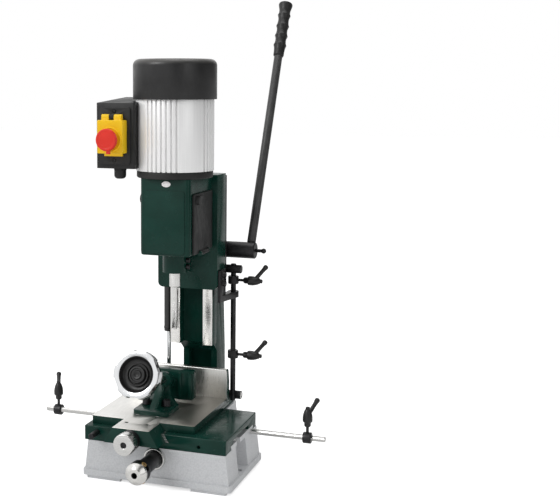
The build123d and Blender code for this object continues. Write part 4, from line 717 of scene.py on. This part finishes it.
def flap_collar():
    """A low collar on the flap, round the button's hole."""
    collar = turned("flap_button_collar", [(-82.8, 20.6), (-84.2, 20.4), (-84.9, 19.8),
                                           (-84.9, 18.6), (-83.4, 18.0), (-83.4, 7.0)],
                    button_middle, (0, 1, 0))
    cut(collar, turned("hole", [(-90, 6.6), (-70, 6.6)], button_middle, (0, 1, 0), 48))
    ease(collar, 0.15, 2, 40)
    dress(collar, "switch_flap", yellow, "yellow_plastic")


stop_mushroom()
switch_lid_screws()
flap_collar()


# ---------------------------------------------------------------- vise handwheel
screw_lean = math.radians(18)
screw_line = (0, math.cos(screw_lean), -math.sin(screw_lean))
screw_root = (-28, 20, 148)
wheel_reach = 125                   # from the screw's root to the middle of the wheel
wheel_middle = (screw_root[0], screw_root[1] - wheel_reach * math.cos(screw_lean),
                screw_root[2] + wheel_reach * math.sin(screw_lean))
recesses = 6
first_recess = 33                   # degrees round the rim


def wheel_rim():
    """Bright rim with finger recesses cut down to the black band inside it."""
    rim = turned("wheel_rim", [(8.5, 37.6), (8.2, 39.2), (7.4, 40.2), (-6.6, 40.4), (-7.8, 39.8),
                               (-8.5, 38.4), (-8.7, 35), (-8.5, 31.6), (-7.9, 30.2)], sides=128)
    cut(rim, turned("bore", [(-10, 30.1), (10, 30.1)], sides=128))
    for number in range(recesses):
        notch = billet("notch", left=36.9, right=46, front=-10.6, rear=10.6, low=-9.6, high=9.6)
        notch.rotation_euler = (0, 0, math.radians(first_recess + 360 / recesses * number))
        cut(rim, settle(notch, "notch"))
    ease(rim, 0.5, 2, 40)
    stand(rim, wheel_middle, screw_line)
    dress(rim, "clamp", chrome, "chrome_steel", "handwheel")


def wheel_band():
    """The black band that shows in the recesses."""
    band = turned("wheel_band", [(-7.6, 37.05), (7.6, 37.05)], sides=96)
    cut(band, turned("bore", [(-8.2, 35.9), (8.2, 35.9)], sides=96))
    ease(band, 0)
    stand(band, wheel_middle, screw_line)
    dress(band, "clamp", knob_black, "black_plastic")


def wheel_face():
    """Moulded dish with its stepped rings round the screw's end."""
    dish = turned("wheel_face", [(7, 20), (6.6, 25), (5, 30.05), (-7.2, 30.05), (-7.9, 29.4),
                                 (-7.6, 28.7), (-1.0, 27.0), (1.6, 24.6), (2.4, 22.0),
                                 (2.4, 19.6), (-1.6, 18.9), (-2.4, 18.2), (-2.4, 17.0),
                                 (-1.6, 16.4), (1.0, 16.0), (1.0, 14.6), (-3.6, 14.0),
                                 (-4.6, 13.2), (-4.7, 11.6), (-4.0, 10.8), (-2.6, 10.4),
                                 (-2.6, 8.2), (-4.4, 7.6), (-5.2, 6.6), (-5.0, 4.4),
                                 (-4.2, 3.4), (-3.6, 2.4)], sides=96)
    ease(dish, 0)
    stand(dish, wheel_middle, screw_line)
    dress(dish, "clamp", knob_black, "black_plastic", "wheel_dish")


wheel_rim()
wheel_band()
wheel_face()


# ---------------------------------------------------------------- small fittings
oval_middle = (3, -49.6, 496)
oval_height = 0.62                  # of its width
spokes = 3
first_spoke = 35                    # degrees round the hub
hub_middle = (0, -166.5, 48)
hub_radius = 17.2
lower_stud_height = 7.5             # above the foot of the studs' node


def blank_oval():
    """A bare bright oval on the front of the head."""
    oval = turned("blank_oval", [(0, 3.0), (0, 7.4), (0.5, 7.9), (0.9, 7.5), (1.0, 6.6),
                                 (1.0, 2.0)], oval_middle, (0, -1, 0), 48)
    middle = oval_middle[2] * mm
    for corner in oval.data.vertices:
        corner.co.z = middle + (corner.co.z - middle) * oval_height
    ease(oval, 0)
    dress(oval, "head", aluminium, "motor_aluminium")


def boss_ring():
    """Turned ring on the base where the feed shaft comes out."""
    ring = turned("feed_boss_ring", [(0, 16.6), (0, 18.4), (-7.0, 18.4), (-8.4, 17.6),
                                     (-8.6, 16.6), (-8.0, 14.2), (0, 14.2)],
                  (0, -92, 48), (0, 1, 0))
    ease(ring, 0.2, 2, 40)
    dress(ring, "frame", steel_turned, "ground_steel")


def barrel_spokes():
    """Bronze-lined holes for the feed handles, round the hub's barrel."""
    for number in range(spokes):
        angle = math.radians(first_spoke + 360 / spokes * number)
        out = Vector((math.sin(angle), 0, math.cos(angle)))
        lining = turned(f"spoke_lining_{number}", [(0, 4.4), (1.6, 4.4), (1.7, 3.9), (1.7, 2.6),
                                                   (0.4, 2.4), (0.3, 0.8)],
                        Vector(hub_middle) + out * hub_radius, out, 28)
        ease(lining, 0)
        dress(lining, "feed", bronze, "bronze")


def stud_end():
    """Pale end of the lower stud that carries the depth rod."""
    low, high = (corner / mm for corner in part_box("rod_studs"))
    cap = turned("stud_end_plug", [(-0.4, 5.4), (0.0, 6.2), (0.6, 6.0), (0.9, 5.2), (0.9, 3.6),
                                   (0.2, 3.0), (0.2, 1.0)],
                 (high.x, (low.y + high.y) / 2, low.z + lower_stud_height), (1, 0, 0), 32)
    ease(cap, 0)
    dress(cap, "frame", steel_turned, "black_steel")


def bore_shade_plug():
    """Black plug down in the bore of the cross screw's disc: painted shade for the dark bore."""
    # painted shade: a black plug stands for the shade in the bore
    head = turned("bore_shade_plug", [(0, 4.9), (1.6, 4.9), (2.2, 4.3), (2.2, 1.0)],
                  (-30, -151, 85), (0, -1, 0), 32)
    ease(head, 0)
    dress(head, "cross", oxide, "black_steel")


blank_oval()
boss_ring()
barrel_spokes()
stud_end()
bore_shade_plug()


# ---------------------------------------------------------------- floor, lights and camera
object_light = 0.45                 # the room's strength on the object
mirror_left, mirror_right = 1.0, 0.16       # its strength in mirrors, on either side
mirror_fade = (0.02, 0.36)          # where one turns into the other, as a direction's X
floor_colour = (0.93, 0.93, 0.93)
floor_size = 24
floor_drop = 0.4                    # below the machine's feet
floor_glow = 0.60                   # for the camera only


def studio():
    """A white room, which mirrors see as dim on the right."""
    world = bpy.data.worlds.new("studio")
    bpy.context.scene.world = world
    world.use_nodes = True
    tree = world.node_tree
    tree.nodes.clear()
    ray = add_node(tree, "ShaderNodeLightPath").outputs
    way = add_node(tree, "ShaderNodeTexCoord").outputs["Generated"]
    across = add_node(tree, "ShaderNodeSeparateXYZ", Vector=way).outputs["X"]
    seen_by_mirrors = add_node(tree, "ShaderNodeMapRange", Value=across, From_Min=mirror_fade[0],
                               From_Max=mirror_fade[1], To_Min=mirror_left, To_Max=mirror_right)
    strength = reckon(tree, "MAXIMUM", seen_by_mirrors.outputs["Result"], ray["Is Camera Ray"])
    white = (1, 1, 1, 1)
    light = add_node(tree, "ShaderNodeBackground", Color=white, Strength=object_light)
    wall = add_node(tree, "ShaderNodeBackground", Color=white, Strength=strength)
    seen = reckon(tree, "MAXIMUM", ray["Is Camera Ray"], ray["Is Glossy Ray"])
    room = add_node(tree, "ShaderNodeMixShader", Fac=seen)
    fill(tree, room.inputs[1], light.outputs["Background"])
    fill(tree, room.inputs[2], wall.outputs["Background"])
    add_node(tree, "ShaderNodeOutputWorld", Surface=room.outputs["Shader"])


def floor_sheet():
    """Pale paper that glows for the camera only, so that it keeps the shadow."""
    put_down()
    bpy.ops.mesh.primitive_plane_add(size=floor_size, location=(0, 0, -floor_drop * mm))
    floor = settle(bpy.context.object, "floor")
    paper = Finish("pale_floor", floor_colour, 0.0, 0.9)
    paper.gloss(0.1)
    paper.put("Emission Color", (1, 1, 1, 1))
    ray = paper.add("ShaderNodeLightPath").outputs
    paper.put("Emission Strength", paper.reckon("MULTIPLY", ray["Is Camera Ray"], floor_glow))
    floor.data.materials.append(paper.material)


def lamp(name, energy, size, place, aim):
    """A soft rectangular light."""
    data = bpy.data.lights.new(name, "AREA")
    data.energy = energy
    data.shape = "RECTANGLE"
    data.size, data.size_y = size
    light = bpy.data.objects.new(name, data)
    bpy.context.scene.collection.objects.link(light)
    light.location = place
    light.rotation_mode = "QUATERNION"
    light.rotation_quaternion = (Vector(aim) - Vector(place)).to_track_quat("-Z", "Y")


def camera(place, turn, dip, lens, shift_x, shift_y):
    """Turned to the left and dipped, in degrees, from looking straight at the back wall."""
    data = bpy.data.cameras.new("photo_camera")
    data.sensor_width = 36.0
    data.lens = lens
    data.shift_x = shift_x
    data.shift_y = shift_y
    data.clip_start = 0.05
    data.clip_end = 60
    view = bpy.data.objects.new("photo_camera", data)
    bpy.context.scene.collection.objects.link(view)
    turn, dip = math.radians(turn), math.radians(dip)
    ahead = Vector((-math.sin(turn) * math.cos(dip), math.cos(turn) * math.cos(dip),
                    -math.sin(dip)))
    view.location = place
    view.rotation_mode = "QUATERNION"
    view.rotation_quaternion = ahead.to_track_quat("-Z", "Y")
    bpy.context.scene.camera = view


studio()
floor_sheet()
lamp("key", 46, (1.6, 1.6), place=(-1.7, -2.2, 2.4), aim=(0, 0, 0.4))
lamp("fill", 8, (1.4, 2.0), place=(2.2, -1.4, 1.2), aim=(0, 0, 0.4))
lamp("top", 14, (1.6, 1.6), place=(0.1, 0.3, 2.6), aim=(0, 0, 0.3))
camera((0.6487, -1.7442, 0.6613), turn=20.759, dip=6.284, lens=71.618, shift_x=0.1999,
       shift_y=-0.08)
bpy.context.scene.view_settings.view_transform = "Standard"
